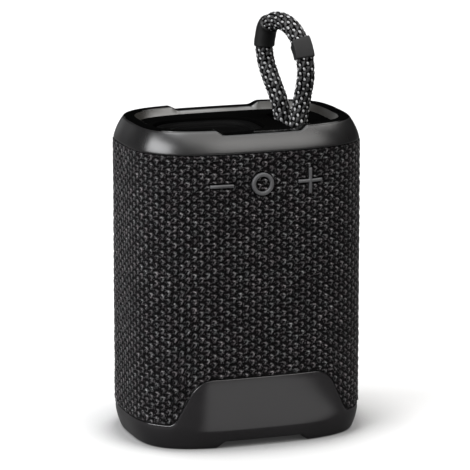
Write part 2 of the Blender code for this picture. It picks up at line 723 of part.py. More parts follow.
def make_button_board():
    left, right, low, high = BAY
    back = -(BAY_FLOOR + 0.4)
    board = box(
        "button_board", (left + 0.5, right - 0.5), (back - 0.9, back), (low + 0.5, high - 0.5), "board"
    )
    for symbol, x in BUTTONS.items():
        face = back - 0.9 - GAP
        height = (BUTTON_Z - 2.2, BUTTON_Z + 2.2)
        switch = box(symbol + "_switch", (x - 2.2, x + 2.2), (face - 1.4, face), height, "steel")
        stem = cylinder(
            symbol + "_stem", 1.0, (x, face - 1.9, BUTTON_Z), 1.0, "Y", 12, group=TOOLS
        )
        join(switch, stem)
    return board


# ---------------------------------------------------------------- rope loop


def closed_curve(points, spacing):
    """Points along a closed smooth curve through the given ones, evenly spread."""
    knots = [Vector(p) for p in points]
    count = len(knots)
    fine = []
    for i in range(count):
        before, start, end, after = (knots[(i + k) % count] for k in (-1, 0, 1, 2))
        for step in range(12):
            t = step / 12
            fine.append(
                0.5
                * (
                    2 * start
                    + (end - before) * t
                    + (2 * before - 5 * start + 4 * end - after) * t**2
                    + (3 * start - before - 3 * end + after) * t**3
                )
            )
    fine.append(fine[0].copy())
    lengths = [0.0]
    for start, end in zip(fine, fine[1:]):
        lengths.append(lengths[-1] + (end - start).length)
    total = lengths[-1]
    steps = round(total / spacing)
    path, at = [], 0
    for i in range(steps + 1):
        target = total * i / steps
        while at < len(fine) - 2 and lengths[at + 1] < target:
            at += 1
        share = (target - lengths[at]) / (lengths[at + 1] - lengths[at])
        path.append(fine[at].lerp(fine[at + 1], share))
    return path


def make_wrist_loop():
    path = closed_curve(ROPE_ROUTE, 2.9)
    half_gap = 0.15
    path[0] = path[0] + (path[1] - path[0]).normalized() * half_gap
    path[-1] = path[-1] + (path[-2] - path[-1]).normalized() * half_gap
    curve = bpy.data.curves.new("wrist_loop", "CURVE")
    curve.dimensions = "3D"
    curve.bevel_depth = ROPE_RADIUS * MM
    curve.bevel_resolution = 2
    curve.use_fill_caps = True
    spline = curve.splines.new("POLY")
    spline.points.add(len(path) - 1)
    for point, place in zip(spline.points, path):
        point.co = (*(place * MM), 1.0)
    rope = bpy.data.objects.new("wrist_loop", curve)
    PARTS.objects.link(rope)
    curve.materials.append(MATERIALS["rope"])
    return rope


def nearest_index(path, place):
    return min(range(len(path)), key=lambda i: (path[i] - Vector(place)).length)


def sleeve_rings(path, middle, half_length, outer):
    """Rings of a tube along part of the rope: outer is its section as (side, out) pairs."""
    count = len(outer)
    fine = 0.5
    steps = round(half_length / fine)
    picks = [path[(middle + k) % (len(path) - 1)] for k in range(-steps, steps + 1, 4)]
    rings_out, rings_in = [], []
    across = Vector((1.0, 0.0, 0.0))
    for i, place in enumerate(picks):
        ahead = picks[min(i + 1, len(picks) - 1)] - picks[max(i - 1, 0)]
        ahead.normalize()
        out = across.cross(ahead).normalized()
        side = ahead.cross(out).normalized()
        rings_out.append([tuple(place + side * s + out * o) for s, o in outer])
        hole = [2 * math.pi * (k + 0.5) / count for k in range(count)]
        rings_in.append(
            [tuple(place + (side * math.cos(a) + out * math.sin(a)) * HOLE_RADIUS) for a in hole]
        )
    return rings_out + rings_in[::-1]


def round_section(radius, count=16):
    angles = [2 * math.pi * (k + 0.5) / count for k in range(count)]
    return [(radius * math.cos(a), radius * math.sin(a)) for a in angles]


def square_section(half, corner, turn):
    """A square with round corners, four points on each, turned about its middle."""
    section = []
    for quarter in range(4):
        middle = math.radians(45 + 90 * quarter)
        cx = math.copysign(half - corner, math.cos(middle))
        cy = math.copysign(half - corner, math.sin(middle))
        for k in range(4):
            angle = math.radians(90 * quarter + 30 * k)
            point = Vector((cx + corner * math.cos(angle), cy + corner * math.sin(angle)))
            point.rotate(Matrix.Rotation(turn, 2))
            section.append(tuple(point))
    return section


def make_loop_fittings():
    path = closed_curve(ROPE_ROUTE, 0.5)
    middle = nearest_index(path, SLEEVE_POINT)
    sleeve = sleeve_rings(path, middle, SLEEVE_HALF, round_section(SLEEVE_RADIUS))
    loft("loop_sleeve", sleeve, "rubber", closed=True)
    middle = nearest_index(path, CLAMP_POINT)
    clamp = sleeve_rings(path, middle, CLAMP_HALF, square_section(CLAMP_SIDE, CLAMP_CORNER, CLAMP_TURN))
    loft("loop_clamp", clamp, "clamp", closed=True)


def make_anchor_bar():
    half = SLOT_HALF_X + CUP_WALL
    return cylinder(
        "anchor_bar", BAR_RADIUS, (LOOP_X - half, 0, BAR_Z), 2 * half, "X", 20, "steel"
    )


# ---------------------------------------------------------------- port, battery, board


def make_port_cover():
    """A rubber flap that turns about its lower edge, with a plug on its inner side."""
    low = PORT_Z - FLAP_HALF_Z
    depth = side_depth(0.0)
    hinge = Vector((0.0, depth - HINGE_RADIUS, low))
    panel = box_mesh((-FLAP_HALF_X, FLAP_HALF_X), (-FLAP_THICK, 0.0), (low, PORT_Z + FLAP_HALF_Z))
    for vert in panel.verts:
        vert.co.y += side_depth(vert.co.x)
    edge = cylinder_mesh(HINGE_RADIUS, (-FLAP_HALF_X, depth - HINGE_RADIUS, low), 2 * FLAP_HALF_X, "X", 12)
    plug = box_mesh((-3.8, 3.8), (depth - 2.2, depth - 0.5), (PORT_Z - 1.3, PORT_Z + 1.3))
    lip = box_mesh((-3.0, 3.0), (depth - 0.5, depth + 0.5), (PORT_Z + 3.2, PORT_Z + 4.2))
    for bm in (panel, edge, plug, lip):
        bmesh.ops.translate(bm, vec=-hinge, verts=bm.verts[:])
    cover = add_object("port_cover", panel, "rubber")
    tools = [
        add_object("flap_edge", edge, None, TOOLS),
        add_object("flap_plug", plug, None, TOOLS),
        add_object("flap_lip", lip, None, TOOLS),
    ]
    join(cover, *tools)
    for obj in (cover, *tools):
        obj.location = hinge * MM
    return cover


def make_usb_port():
    low = BOARD_Z + BOARD_THICK + GAP
    body = box("usb_c_port", (-4.5, 4.5), (19.6, 27.2), (low, low + 3.2), "steel")
    mouth = box("usb_mouth_tool", (-4.1, 4.1), (21.2, 29), (low + 0.4, low + 2.8), group=TOOLS)
    tongue = box("usb_tongue_tool", (-3.3, 3.3), (20.6, 26.0), (low + 1.25, low + 1.95), group=TOOLS)
    cut(body, mouth)
    join(body, tongue)
    return body


def make_battery():
    cylinder("battery_cell", CELL_RADIUS, CELL_AT, CELL_LENGTH, sides=24, material="cell")
    inner, outer = CELL_RADIUS + 0.4, CELL_RADIUS + 1.7
    angles = [math.radians(-10 + 200 * i / 14) for i in range(15)]
    ring = [(outer * math.cos(a), outer * math.sin(a)) for a in angles]
    ring += [(inner * math.cos(a), inner * math.sin(a)) for a in reversed(angles)]
    x, y, z = CELL_AT
    levels = (z + 3, z + CELL_LENGTH - 3)
    loft("battery_holder", [[(x + px, y + py, level) for px, py in ring] for level in levels], "rubber")


def make_main_board():
    top = BOARD_Z + BOARD_THICK
    board = box("main_board", BOARD[:2], BOARD[2:], (BOARD_Z, top), "board")
    for i, (x, y) in enumerate(BOARD_POSTS):
        cut(board, cylinder(f"board_hole_{i + 1}", SCREW_HOLE, (x, y, BOARD_Z - 1), 4, sides=10, group=TOOLS))
    box("shield_can", (-13.0, 1.0), (-9.0, 5.0), (top + GAP, top + GAP + 1.8), "steel")
    return board


def make_lead(name, route, radius, material):
    """A lead held at both ends, along straight runs with soft corners."""
    knots = [Vector(p) for p in route]
    path = [knots[0]]
    for before, corner, after in zip(knots, knots[1:], knots[2:]):
        path.append(corner.lerp(before, 0.25))
        path.append(corner.lerp(after, 0.25))
    path.append(knots[-1])
    curve = bpy.data.curves.new(name, "CURVE")
    curve.dimensions = "3D"
    curve.bevel_depth = radius * MM
    curve.bevel_resolution = 1
    curve.use_fill_caps = True
    spline = curve.splines.new("POLY")
    spline.points.add(len(path) - 1)
    for point, place in zip(spline.points, path):
        point.co = (*(place * MM), 1.0)
    lead = bpy.data.objects.new(name, curve)
    curve.materials.append(MATERIALS[material])
    PARTS.objects.link(lead)
    return lead


def make_leads():
    make_lead(
        "speaker_lead",
        [(-18.6, -14.5, 55), (-23, -10, 52), (-26, -3, 42), (-25, 1, 28), (-19, 1, 19), (-17, 1, 16.6)],
        0.8,
        "wire",
    )
    make_lead(
        "battery_lead",
        [(18, 13, 15.9), (13, 10.5, 15.2), (9.5, 9.5, 16.0), (6.5, 8.8, 16.6), (3.5, 8.5, 16.6)],
        0.7,
        "wire",
    )
    make_lead(
        "button_lead",
        [(-19, -22.4, 88), (-19, -19, 88), (-26, -10, 84), (-31, 2, 70), (-31, 7, 40), (-24, 8, 22)]
        + [(-18, 8, 16.6)],
        0.8,
        "wire",
    )


# ---------------------------------------------------------------- fasteners


def make_screw(name, place, length, direction, head=SCREW_HEAD):
    """A pan-head screw with a cross recess. place is the underside of its head."""
    thick = 1.1
    low = -length if direction == "down" else 0.0
    shank = cylinder_mesh(SCREW_SHANK, (0, 0, low), length, sides=6)
    cap_low = 0.0 if direction == "down" else -thick
    cap = cylinder_mesh(head, (0, 0, cap_low), thick, sides=10)
    sign = 1 if direction == "down" else -1
    outer_face = sign * thick
    slots = []
    for half_x, half_y in ((1.1, 0.25), (0.25, 1.1)):
        z = sorted((outer_face - sign * 0.5, outer_face + sign * 0.5))
        slots.append(box_mesh((-half_x, half_x), (-half_y, half_y), z))
    screw = add_object(name, cap, "steel")
    tools = [add_object(name + "_shank", shank, None, TOOLS)]
    tools += [add_object(f"{name}_slot_{i + 1}", slot, None, TOOLS) for i, slot in enumerate(slots)]
    join(screw, tools[0])
    cut(screw, *tools[1:])
    for obj in (screw, *tools):
        obj.location = Vector(place) * MM
    return screw


def make_screws():
    for i, (x, y) in enumerate(BASE_POSTS):
        make_screw(f"base_screw_{i + 1}", (x, y, FOOT_DEPTH - GAP), 9.8, "up")
    plate_top = SHELL_HIGH + 0.8 + 2 * GAP + PLATE
    for i, (x, y) in enumerate(PLATE_POSTS):
        make_screw(f"plate_screw_{i + 1}", (x, y, plate_top + GAP - 0.2), 8.0, "down", head=1.8)
    for i, (x, y) in enumerate(BOARD_POSTS):
        make_screw(f"board_screw_{i + 1}", (x, y, BOARD_Z + BOARD_THICK + GAP), 6.0, "down")


# ---------------------------------------------------------------- the whole speaker

clear_scene()
PARTS = new_collection("shower_speaker")
TOOLS = new_collection("cutters")
MATERIALS = make_materials()

make_top_cap()
make_bottom_cap()
make_fabric_sleeve()
make_enclosure_shell()
make_top_plate()
make_bottom_plate()
make_gasket("top_gasket", SHELL_HIGH + GAP)
make_gasket("bottom_gasket", SHELL_LOW - GAP - 0.8)
make_driver()
make_radiator("top_radiator", TOP_RADIATOR, SHELL_HIGH + 0.8 + 3 * GAP + PLATE, 1)
make_radiator("bottom_radiator", BOTTOM_RADIATOR, SHELL_LOW - 0.8 - 3 * GAP - PLATE - SKIN, -1)
for button_name, button_x in BUTTONS.items():
    make_button(button_name, button_x)
make_button_board()
make_anchor_bar()
make_wrist_loop()
make_loop_fittings()
make_port_cover()
make_usb_port()
make_battery()
make_main_board()
make_leads()
make_screws()
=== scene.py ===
"""Looks of the shower speaker: knitted sleeve, satin crown and base, braided rope loop.

Lengths are in millimetres and are scaled to metres when a mesh is made. Places come from the
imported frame; the shapes repeat the part's own rules at a finer resolution.
"""

import json
import math

import bmesh
import bpy
import numpy as np
from mathutils import Matrix, Vector


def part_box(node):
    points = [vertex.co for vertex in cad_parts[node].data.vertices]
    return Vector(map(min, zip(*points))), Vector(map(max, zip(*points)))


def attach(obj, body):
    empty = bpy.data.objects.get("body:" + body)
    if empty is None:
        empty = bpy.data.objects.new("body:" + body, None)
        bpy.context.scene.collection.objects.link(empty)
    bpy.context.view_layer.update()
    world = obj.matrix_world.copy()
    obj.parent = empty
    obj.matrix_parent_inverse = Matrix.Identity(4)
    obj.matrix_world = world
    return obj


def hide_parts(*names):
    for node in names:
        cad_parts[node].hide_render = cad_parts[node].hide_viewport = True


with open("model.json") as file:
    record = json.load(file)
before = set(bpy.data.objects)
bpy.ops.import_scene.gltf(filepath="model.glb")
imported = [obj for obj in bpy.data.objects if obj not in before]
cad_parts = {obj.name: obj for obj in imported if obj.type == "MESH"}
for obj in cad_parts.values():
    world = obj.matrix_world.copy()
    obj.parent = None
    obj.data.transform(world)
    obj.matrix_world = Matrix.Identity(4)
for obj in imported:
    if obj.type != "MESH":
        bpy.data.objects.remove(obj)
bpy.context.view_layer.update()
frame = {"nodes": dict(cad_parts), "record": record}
MM = 0.001


def limits(node):
    """Lowest and highest corners of a CAD node, in millimetres."""
    low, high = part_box(node)
    return low / MM, high / MM


def middle_x(node):
    low, high = limits(node)
    return (low.x + high.x) / 2


# ------------------------------------------------------------------ dimensions

SLEEVE_HIGH = limits("fabric_sleeve")[1]
CROWN_LOW, CROWN_HIGH = limits("top_cap")
HALF_X, HALF_Y = SLEEVE_HIGH.x, SLEEVE_HIGH.y
PLAN_POWER = 3.14
CROWN_BOTTOM, BODY_TOP = CROWN_LOW.z, CROWN_HIGH.z
CROWN_RISE = BODY_TOP - CROWN_BOTTOM
BASE_TOP = 8.5
GAP = 0.3
WALL = 1.6
SHELL_INSIDE = 3.2  # from the body's outline to the inside of the crown's and base's walls
CROWN_LINING, BASE_LINING = 1.7, 1.2
FLOOR_OVERLAP, FLOOR_EDGE = 0.35, 0.2

CROWN_STEP, CROWN_LEAN, CROWN_CURVE = 0.3, 0.21, 0.0355
BASE_STEP, BASE_LEAN, BASE_CURVE = 0.30, 0.02, 0.027
RIM_WIDTH = 3.7
RECESS_DEPTH = 3.0
RECESS_DRAFT = 1.8
NOTCH_INNER, NOTCH_OUTER = 13.8, 17.0
NOTCH_TOP, NOTCH_FOOT = 1.55, 2.3
EDGE_ROUND = 0.32

APRON_TOP = limits("bottom_cap")[1].z
APRON_MIDDLE = (27.5, 16.5)
APRON_SLOPE = 28.0
APRON_ROUND, APRON_HOLLOW = 9.0, 3.0
APRON_CREASE = 6.5
APRON_STEP = 0.1

BUTTON_Z = (limits("ring_button")[0].z + limits("ring_button")[1].z) / 2
BUTTON_X = {name: middle_x(name + "_button") for name in ("minus", "ring", "plus")}
MINUS_SIZE, PLUS_SIZE, SYMBOL_STROKE = 8.1, 8.8, 1.05
RING_OUT, RING_IN = 3.9, 2.6
BUTTON_PROUD, BUTTON_SUNK = 0.5, 0.7  # how far a symbol stands out of the fabric and into it
BUTTON_EDGE = 0.28

STATIONS = 640  # round the body
PLAN_STEPS = 14400
TAU = 2 * math.pi


# ------------------------------------------------------------------ plan outline


def fine_plan():
    """The body's outline, closely sampled: arrays of x, y, arc length."""
    angle = np.linspace(0, TAU, PLAN_STEPS + 1) + math.pi / 2
    cos, sin = np.cos(angle), np.sin(angle)
    power = PLAN_POWER
    radius = (np.abs(cos / HALF_X) ** power + np.abs(sin / HALF_Y) ** power) ** (-1 / power)
    x, y = radius * cos, radius * sin
    arc = np.concatenate([[0], np.cumsum(np.hypot(np.diff(x), np.diff(y)))])
    return x, y, arc


PLAN_X, PLAN_Y, PLAN_ARC = fine_plan()
GIRTH = PLAN_ARC[-1]


def outward(x, y):
    """The outline's outward normals."""
    nx = np.copysign(np.abs(x / HALF_X) ** (PLAN_POWER - 1), x) / HALF_X
    ny = np.copysign(np.abs(y / HALF_Y) ** (PLAN_POWER - 1), y) / HALF_Y
    size = np.hypot(nx, ny)
    return nx / size, ny / size


def plan_at(arc):
    """Points and outward normals at arc lengths from the middle of the back."""
    arc = np.mod(arc, GIRTH)
    x = np.interp(arc, PLAN_ARC, PLAN_X)
    y = np.interp(arc, PLAN_ARC, PLAN_Y)
    return x, y, *outward(x, y)


def ring(inset, height, count=STATIONS):
    """One ring round the body. inset and height are numbers or functions of x."""
    x, y, nx, ny = plan_at(np.arange(count) * GIRTH / count)
    inset = inset(x) if callable(inset) else inset
    height = height(x) if callable(height) else height
    return np.stack([x - nx * inset, y - ny * inset, np.broadcast_to(height, count)], axis=1)


def front_depth(x):
    """How far the front stands forward of the body's middle."""
    return HALF_Y * (1 - np.abs(x / HALF_X) ** PLAN_POWER) ** (1 / PLAN_POWER)


def smooth(value):
    """0 to 1 with a soft start and end."""
    value = np.clip(value, 0.0, 1.0)
    return value * value * (3 - 2 * value)


def notch(x, depth):
    """Depth of the shallow notch in a rim."""
    share = (NOTCH_OUTER - np.abs(x)) / (NOTCH_OUTER - NOTCH_INNER)
    return depth * (0.45 * np.clip(share, 0, 1) + 0.55 * smooth(share))


def apron_edge(x):
    """Height of the border between fabric and base."""
    x = np.abs(x)
    slope = math.tan(math.radians(90 - APRON_SLOPE))
    reach = math.tan(math.radians(90 - APRON_SLOPE) / 2)
    lean = math.cos(math.radians(APRON_SLOPE))
    round_x = APRON_MIDDLE[0] - (APRON_TOP - APRON_MIDDLE[1]) / slope - APRON_ROUND * reach
    hollow_x = APRON_MIDDLE[0] + (APRON_MIDDLE[1] - BASE_TOP) / slope + APRON_HOLLOW * reach
    height = APRON_MIDDLE[1] - slope * (x - APRON_MIDDLE[0])
    bend = APRON_TOP - APRON_ROUND + np.sqrt(np.maximum(APRON_ROUND**2 - (x - round_x) ** 2, 0))
    height = np.where(x - round_x < APRON_ROUND * lean, bend, height)
    height = np.where(x <= round_x, APRON_TOP, height)
    bend = BASE_TOP + APRON_HOLLOW - np.sqrt(np.maximum(APRON_HOLLOW**2 - (hollow_x - x) ** 2, 0))
    height = np.where(hollow_x - x < APRON_HOLLOW * lean, bend, height)
    return np.where(x >= hollow_x, BASE_TOP, height)


def apron_share(x):
    """1 where the apron is at its full height, 0 beside it."""
    return (apron_edge(x) - BASE_TOP) / (APRON_TOP - BASE_TOP)


# ------------------------------------------------------------------ mesh helpers


def make_object(name, mesh, material, body, replaces=()):
    """A visible piece: its look, its body and the CAD nodes it stands for."""
    obj = bpy.data.objects.new(name, mesh)
    bpy.context.scene.collection.objects.link(obj)
    for item in material if isinstance(material, (list, tuple)) else [material]:
        mesh.materials.append(item)
    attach(obj, body)
    if replaces:
        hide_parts(*replaces)
    return obj


def grid_mesh(name, rows, wrap_rows=False, wrap_columns=True, caps=False):
    """A smooth quad mesh over an array of points in millimetres [row, column, xyz]."""
    rows = np.asarray(rows, float)
    count_rows, count_columns = rows.shape[:2]
    index = np.arange(count_rows * count_columns).reshape(count_rows, count_columns)
    if wrap_rows:
        index = np.vstack([index, index[:1]])
    if wrap_columns:
        index = np.hstack([index, index[:, :1]])
    quads = np.stack([index[:-1, :-1], index[:-1, 1:], index[1:, 1:], index[1:, :-1]], axis=-1)
    faces = quads.reshape(-1, 4).tolist()
    if caps:
        faces.append(index[0, :count_columns].tolist())
        faces.append(index[-1, :count_columns][::-1].tolist())
    mesh = bpy.data.meshes.new(name)
    mesh.from_pydata((rows.reshape(-1, 3) * MM).tolist(), [], faces)
    mesh.update()
    mesh.polygons.foreach_set("use_smooth", np.ones(len(mesh.polygons), bool))
    return mesh


def paint(mesh, name, values):
    """Stores one number per point for a material to read."""
    layer = mesh.attributes.new(name, "FLOAT", "POINT")
    layer.data.foreach_set("value", np.asarray(values).reshape(-1).astype(np.float32))


def fix_normals(mesh):
    bm = bmesh.new()
    bm.from_mesh(mesh)
    bmesh.ops.recalc_face_normals(bm, faces=bm.faces[:])
    bm.to_mesh(mesh)
    bm.free()
    return mesh


def metre_mesh(name, bm):
    """Turns a bmesh in millimetres into a mesh in metres."""
    bmesh.ops.scale(bm, vec=(MM, MM, MM), verts=bm.verts[:])
    mesh = bpy.data.meshes.new(name)
    bm.to_mesh(mesh)
    bm.free()
    return mesh


def box_bmesh(size, middle):
    bm = bmesh.new()
    bmesh.ops.create_cube(bm, size=1.0, matrix=Matrix.Translation(middle) @ Matrix.Diagonal((*size, 1)))
    return bm


def round_edges(bm, edges, width, segments):
    bmesh.ops.bevel(bm, geom=edges, offset=width, segments=segments, profile=0.5, affect="EDGES")


def along_y(edge, longer_than):
    """Whether an edge runs from front to back for more than a length."""
    return abs(edge.verts[0].co.y - edge.verts[1].co.y) > longer_than


def oval(centre_x, half_x, half_y, count, power=3.0):
    """A closed outline between an ellipse (power 2) and a rectangle."""
    angle = np.arange(count) * TAU / count
    cos, sin = np.cos(angle), np.sin(angle)
    radius = (np.abs(cos / half_x) ** power + np.abs(sin / half_y) ** power) ** (-1 / power)
    return np.stack([centre_x + radius * cos, radius * sin], axis=1)


def slot_outline(centre_x, half_x, half_y, steps=16):
    """A slot with round ends, as points anticlockwise."""
    points = []
    for end in (1, -1):
        for i in range(steps + 1):
            angle = math.pi * i / steps + (0 if end > 0 else math.pi)
            x = centre_x + half_x * math.cos(angle)
            points.append((x, end * (half_y - half_x) + half_x * math.sin(angle)))
    return points


def plate(name, outlines, middle_z, thick, edge, material, replaces=()):
    """A flat plate with holes and rounded edges from closed outlines."""
    curve = bpy.data.curves.new(name, "CURVE")
    curve.dimensions = "2D"
    curve.fill_mode = "BOTH"
    curve.extrude = (thick / 2 - edge) * MM
    curve.bevel_depth = edge * MM
    curve.bevel_resolution = 2
    curve.offset = -edge * MM
    for outline in outlines:
        spline = curve.splines.new("POLY")
        spline.points.add(len(outline) - 1)
        for point, (x, y) in zip(spline.points, outline):
            point.co = (x * MM, y * MM, 0.0, 1.0)
        spline.use_cyclic_u = True
    source = bpy.data.objects.new(name + "_outline", curve)
    bpy.context.scene.collection.objects.link(source)
    bpy.context.view_layer.update()
    mesh = bpy.data.meshes.new_from_object(source)
    bpy.data.objects.remove(source)
    mesh.name = name
    mesh.transform(Matrix.Translation((0, 0, middle_z * MM)))
    mesh.materials.clear()
    obj = make_object(name, mesh, material, "speaker_body", replaces)
    mesh.polygons.foreach_set("use_smooth", np.zeros(len(mesh.polygons), bool))
    return obj


# ------------------------------------------------------------------ materials


class Nodes:
    """Short calls for building one Principled material."""

    def __init__(self, name, color=(0.5, 0.5, 0.5), roughness=0.5, **sockets):
        self.material = bpy.data.materials.new(name)
        self.material.use_nodes = True
        self.tree = self.material.node_tree
        self.shader = self.tree.nodes["Principled BSDF"]
        self.set(self.shader, "Base Color", (*color, 1.0))
        self.set(self.shader, "Roughness", roughness)
        for key, value in sockets.items():
            self.set(self.shader, key.replace("_", " "), value)

    def set(self, node, socket, value):
        node.inputs[socket].default_value = value

    def node(self, kind, links=None, **settings):
        node = self.tree.nodes.new(kind)
        for key, value in settings.items():
            if key in node.inputs:
                node.inputs[key].default_value = value
            else:
                setattr(node, key, value)
        for socket, source in (links or {}).items():
            self.tree.links.new(source, node.inputs[socket])
        return node

    def link(self, source, socket, node=None):
        self.tree.links.new(source, (node or self.shader).inputs[socket])

    def place(self, scale=(1.0, 1.0, 1.0)):
        """Object coordinates in millimetres, stretched by a scale."""
        coordinates = self.node("ShaderNodeTexCoord")
        mapping = self.node("ShaderNodeMapping", {"Vector": coordinates.outputs["Object"]})
        mapping.inputs["Scale"].default_value = [value / MM for value in scale]
        return mapping.outputs["Vector"]

    def noise(self, scale, detail=3.0, vector=None):
        links = {"Vector": vector if vector is not None else self.place()}
        node = self.node("ShaderNodeTexNoise", links, Scale=scale, Detail=detail)
        return node.outputs["Fac"]

    def ramp(self, source, stops):
        node = self.node("ShaderNodeValToRGB", {"Fac": source})
        elements = node.color_ramp.elements
        while len(elements) < len(stops):
            elements.new(0.5)
        for element, (position, value) in zip(elements, stops):
            element.position = position
            color = value if isinstance(value, tuple) else (value, value, value)
            element.color = (*color, 1.0)
        return node.outputs["Color"]

    def spread(self, source, low, high):
        """0 to 1 as the source goes from low to high."""
        links = {"Value": source}
        node = self.node("ShaderNodeMapRange", links)
        node.inputs["From Min"].default_value = low
        node.inputs["From Max"].default_value = high
        return node.outputs["Result"]

    def multiply(self, first, second):
        node = self.node("ShaderNodeMix", data_type="RGBA", blend_type="MULTIPLY")
        node.inputs[0].default_value = 1.0
        self.tree.links.new(first, node.inputs[6])
        self.tree.links.new(second, node.inputs[7])
        return node.outputs[2]

    def blend(self, share, first, second):
        node = self.node("ShaderNodeMix", data_type="RGBA")
        for socket, source in ((0, share), (6, first), (7, second)):
            self.tree.links.new(source, node.inputs[socket])
        return node.outputs[2]

    def bump(self, source, strength, distance):
        links = {"Height": source}
        node = self.node("ShaderNodeBump", links, Strength=strength, Distance=distance * MM)
        return node.outputs["Normal"]


def moulded(name, color, roughness, spread=0.05, grain=0.012, grain_scale=5.0, **sockets):
    """Moulded plastic or rubber: fine grain, and slow changes of gloss and tone."""
    m = Nodes(name, color, roughness, **sockets)
    slow = m.noise(0.09, 4.0)
    fine = m.noise(grain_scale, 2.0)
    tone = [tuple(c * k for c in color) for k in (0.86, 1.14)]
    m.link(m.ramp(slow, [(0.3, tone[0]), (0.7, tone[1])]), "Base Color")
    m.link(m.ramp(slow, [(0.3, roughness - spread), (0.7, roughness + spread)]), "Roughness")
    m.link(m.bump(fine, 0.6, grain), "Normal")
    return m.material


def knitted_fabric():
    """Black yarn: matt and dark in the gaps, greyer and a little glossy on top of each stitch; the dark
    gaps are painted shade and the greyer tops painted light.
    """
    m = Nodes("knitted_fabric", roughness=0.5, Sheen_Weight=0.06, Sheen_Roughness=0.45)
    lift_and_shade = m.node("ShaderNodeAttribute", attribute_name="lift_and_shade").outputs["Fac"]
    fibres = m.noise(2.3, 3.0, m.place((1.0, 1.0, 1.4)))
    slow = m.noise(0.06, 3.0)
    tint = m.noise(0.35, 2.0)
    # Painted light and shade: near black in the gaps between stitches, paler on their tops.
    dark, middle, pale = (0.003, 0.0028, 0.003), (0.034, 0.0325, 0.034), (0.156, 0.152, 0.156)
    yarn = m.ramp(lift_and_shade, [(0.1, dark), (0.55, middle), (0.97, pale)])
    shade = m.ramp(fibres, [(0.36, 0.05), (0.5, 0.9), (0.66, 2.3)])
    hue = m.ramp(tint, [(0.35, (1.06, 0.98, 0.99)), (0.65, (0.95, 1.01, 0.99))])
    drift = m.ramp(slow, [(0.3, 0.9), (0.7, 1.1)])
    m.link(m.multiply(m.multiply(m.multiply(yarn, shade), drift), hue), "Base Color")
    m.link(m.ramp(lift_and_shade, [(0.2, 0.0), (0.9, 0.4)]), "Specular IOR Level")
    m.link(m.bump(fibres, 0.8, 0.15), "Normal")
    return m.material


def braided_rope():
    """Black strands with every second one showing a pale fleck, and painted shade in the gaps between
    strands.
    """
    m = Nodes("braided_rope", roughness=0.55)
    fleck = m.node("ShaderNodeAttribute", attribute_name="fleck").outputs["Fac"]
    lift_and_shade = m.node("ShaderNodeAttribute", attribute_name="lift_and_shade").outputs["Fac"]
    fibres = m.noise(1.5, 3.0)
    # Painted shade: each strand darkens towards the gaps beside it.
    strand = m.ramp(lift_and_shade, [(0.25, (0.0012, 0.0012, 0.0012)), (0.85, (0.015, 0.015, 0.0155))])
    shade = m.ramp(fibres, [(0.4, 0.2), (0.6, 2.1)])
    pale = m.ramp(fibres, [(0.3, (0.12, 0.12, 0.122)), (0.7, (0.34, 0.34, 0.342))])
    mask = m.ramp(fleck, [(0.25, 0.0), (0.5, 1.0)])
    m.link(m.blend(mask, m.multiply(strand, shade), pale), "Base Color")
    m.link(m.ramp(lift_and_shade, [(0.2, 0.0), (0.9, 0.4)]), "Specular IOR Level")
    m.link(m.bump(fibres, 0.8, 0.15), "Normal")
    return m.material


def metal(name, color, roughness, scale=(0.3, 0.3, 6.0)):
    """Metal with fine drawn lines."""
    m = Nodes(name, color, roughness, Metallic=1.0)
    lines = m.noise(3.0, 3.0, m.place(scale))
    m.link(m.ramp(lines, [(0.3, roughness - 0.08), (0.7, roughness + 0.1)]), "Roughness")
    m.link(m.bump(lines, 0.3, 0.004), "Normal")
    return m.material


def grey(value):
    return (value, value, value)


def make_materials():
    """Every look by its short name."""
    return {
        "shell": moulded("satin_black_plastic", (0.008, 0.0078, 0.008), 0.3, 0.03),
        "rim": moulded("gloss_black_rim", grey(0.0006), 0.12, 0.02, 0.003),
        # Painted light: the recess's inner side is the shell's plastic made paler and glossier.
        "painted_light_wall": moulded("satin_recess_wall_painted_light", (0.02, 0.019, 0.017), 0.3, 0.03, Specular_IOR_Level=1.0),
        # Painted shade: the recess floor is near black, darker than the shell, and has no gloss.
        "recess": moulded("matt_black_floor_painted_shade", grey(0.0012), 0.6, 0.04, 0.006, Specular_IOR_Level=0.0),
        "base": moulded("satin_black_base", (0.0092, 0.0086, 0.0092), 0.19, 0.03),
        "fabric": knitted_fabric(),
        "symbol": moulded("grey_symbol_rubber", (0.05, 0.05, 0.052), 0.55, 0.06, 0.02, 3.0),
        "rubber": moulded("black_rubber", grey(0.0016), 0.55, 0.06, 0.015, 4.0, Specular_IOR_Level=0.02),
        "flap": moulded("port_flap_rubber", grey(0.006), 0.5, 0.06, 0.015, 4.0, Specular_IOR_Level=0.3),
        "clamp": moulded(
            "grey_clamp_plastic", (0.0085, 0.0085, 0.0087), 0.6, 0.05, 0.02, 3.5, Specular_IOR_Level=0.17
        ),
        "tube": moulded("shrunk_black_tube", grey(0.002), 0.5, 0.06, 0.03, 1.2, Specular_IOR_Level=0.3),
        "enclosure": moulded("black_enclosure", (0.02, 0.02, 0.021), 0.5, 0.05),
        "weight": moulded("lacquered_weight", grey(0.0015), 0.4, 0.05, 0.006, Specular_IOR_Level=0.03),
        "cone": moulded("coated_paper", (0.045, 0.045, 0.05), 0.7, 0.05, 0.03, 2.0),
        "ferrite": moulded("sintered_ferrite", (0.06, 0.06, 0.065), 0.55, 0.08, 0.03, 2.0),
        "steel": metal("plated_steel", (0.55, 0.55, 0.56), 0.3),
        "copper": metal("copper_winding", (0.6, 0.3, 0.18), 0.35, (0.2, 8.0, 0.2)),
        "board": moulded("green_solder_mask", (0.01, 0.07, 0.03), 0.4, 0.08, 0.01, 2.0),
        "cell": moulded("blue_cell_wrap", (0.05, 0.16, 0.4), 0.35, 0.06, 0.008),
        "wire": moulded("red_silicone_wire", (0.35, 0.02, 0.02), 0.45, 0.06, 0.01),
        "rope": braided_rope(),
    }


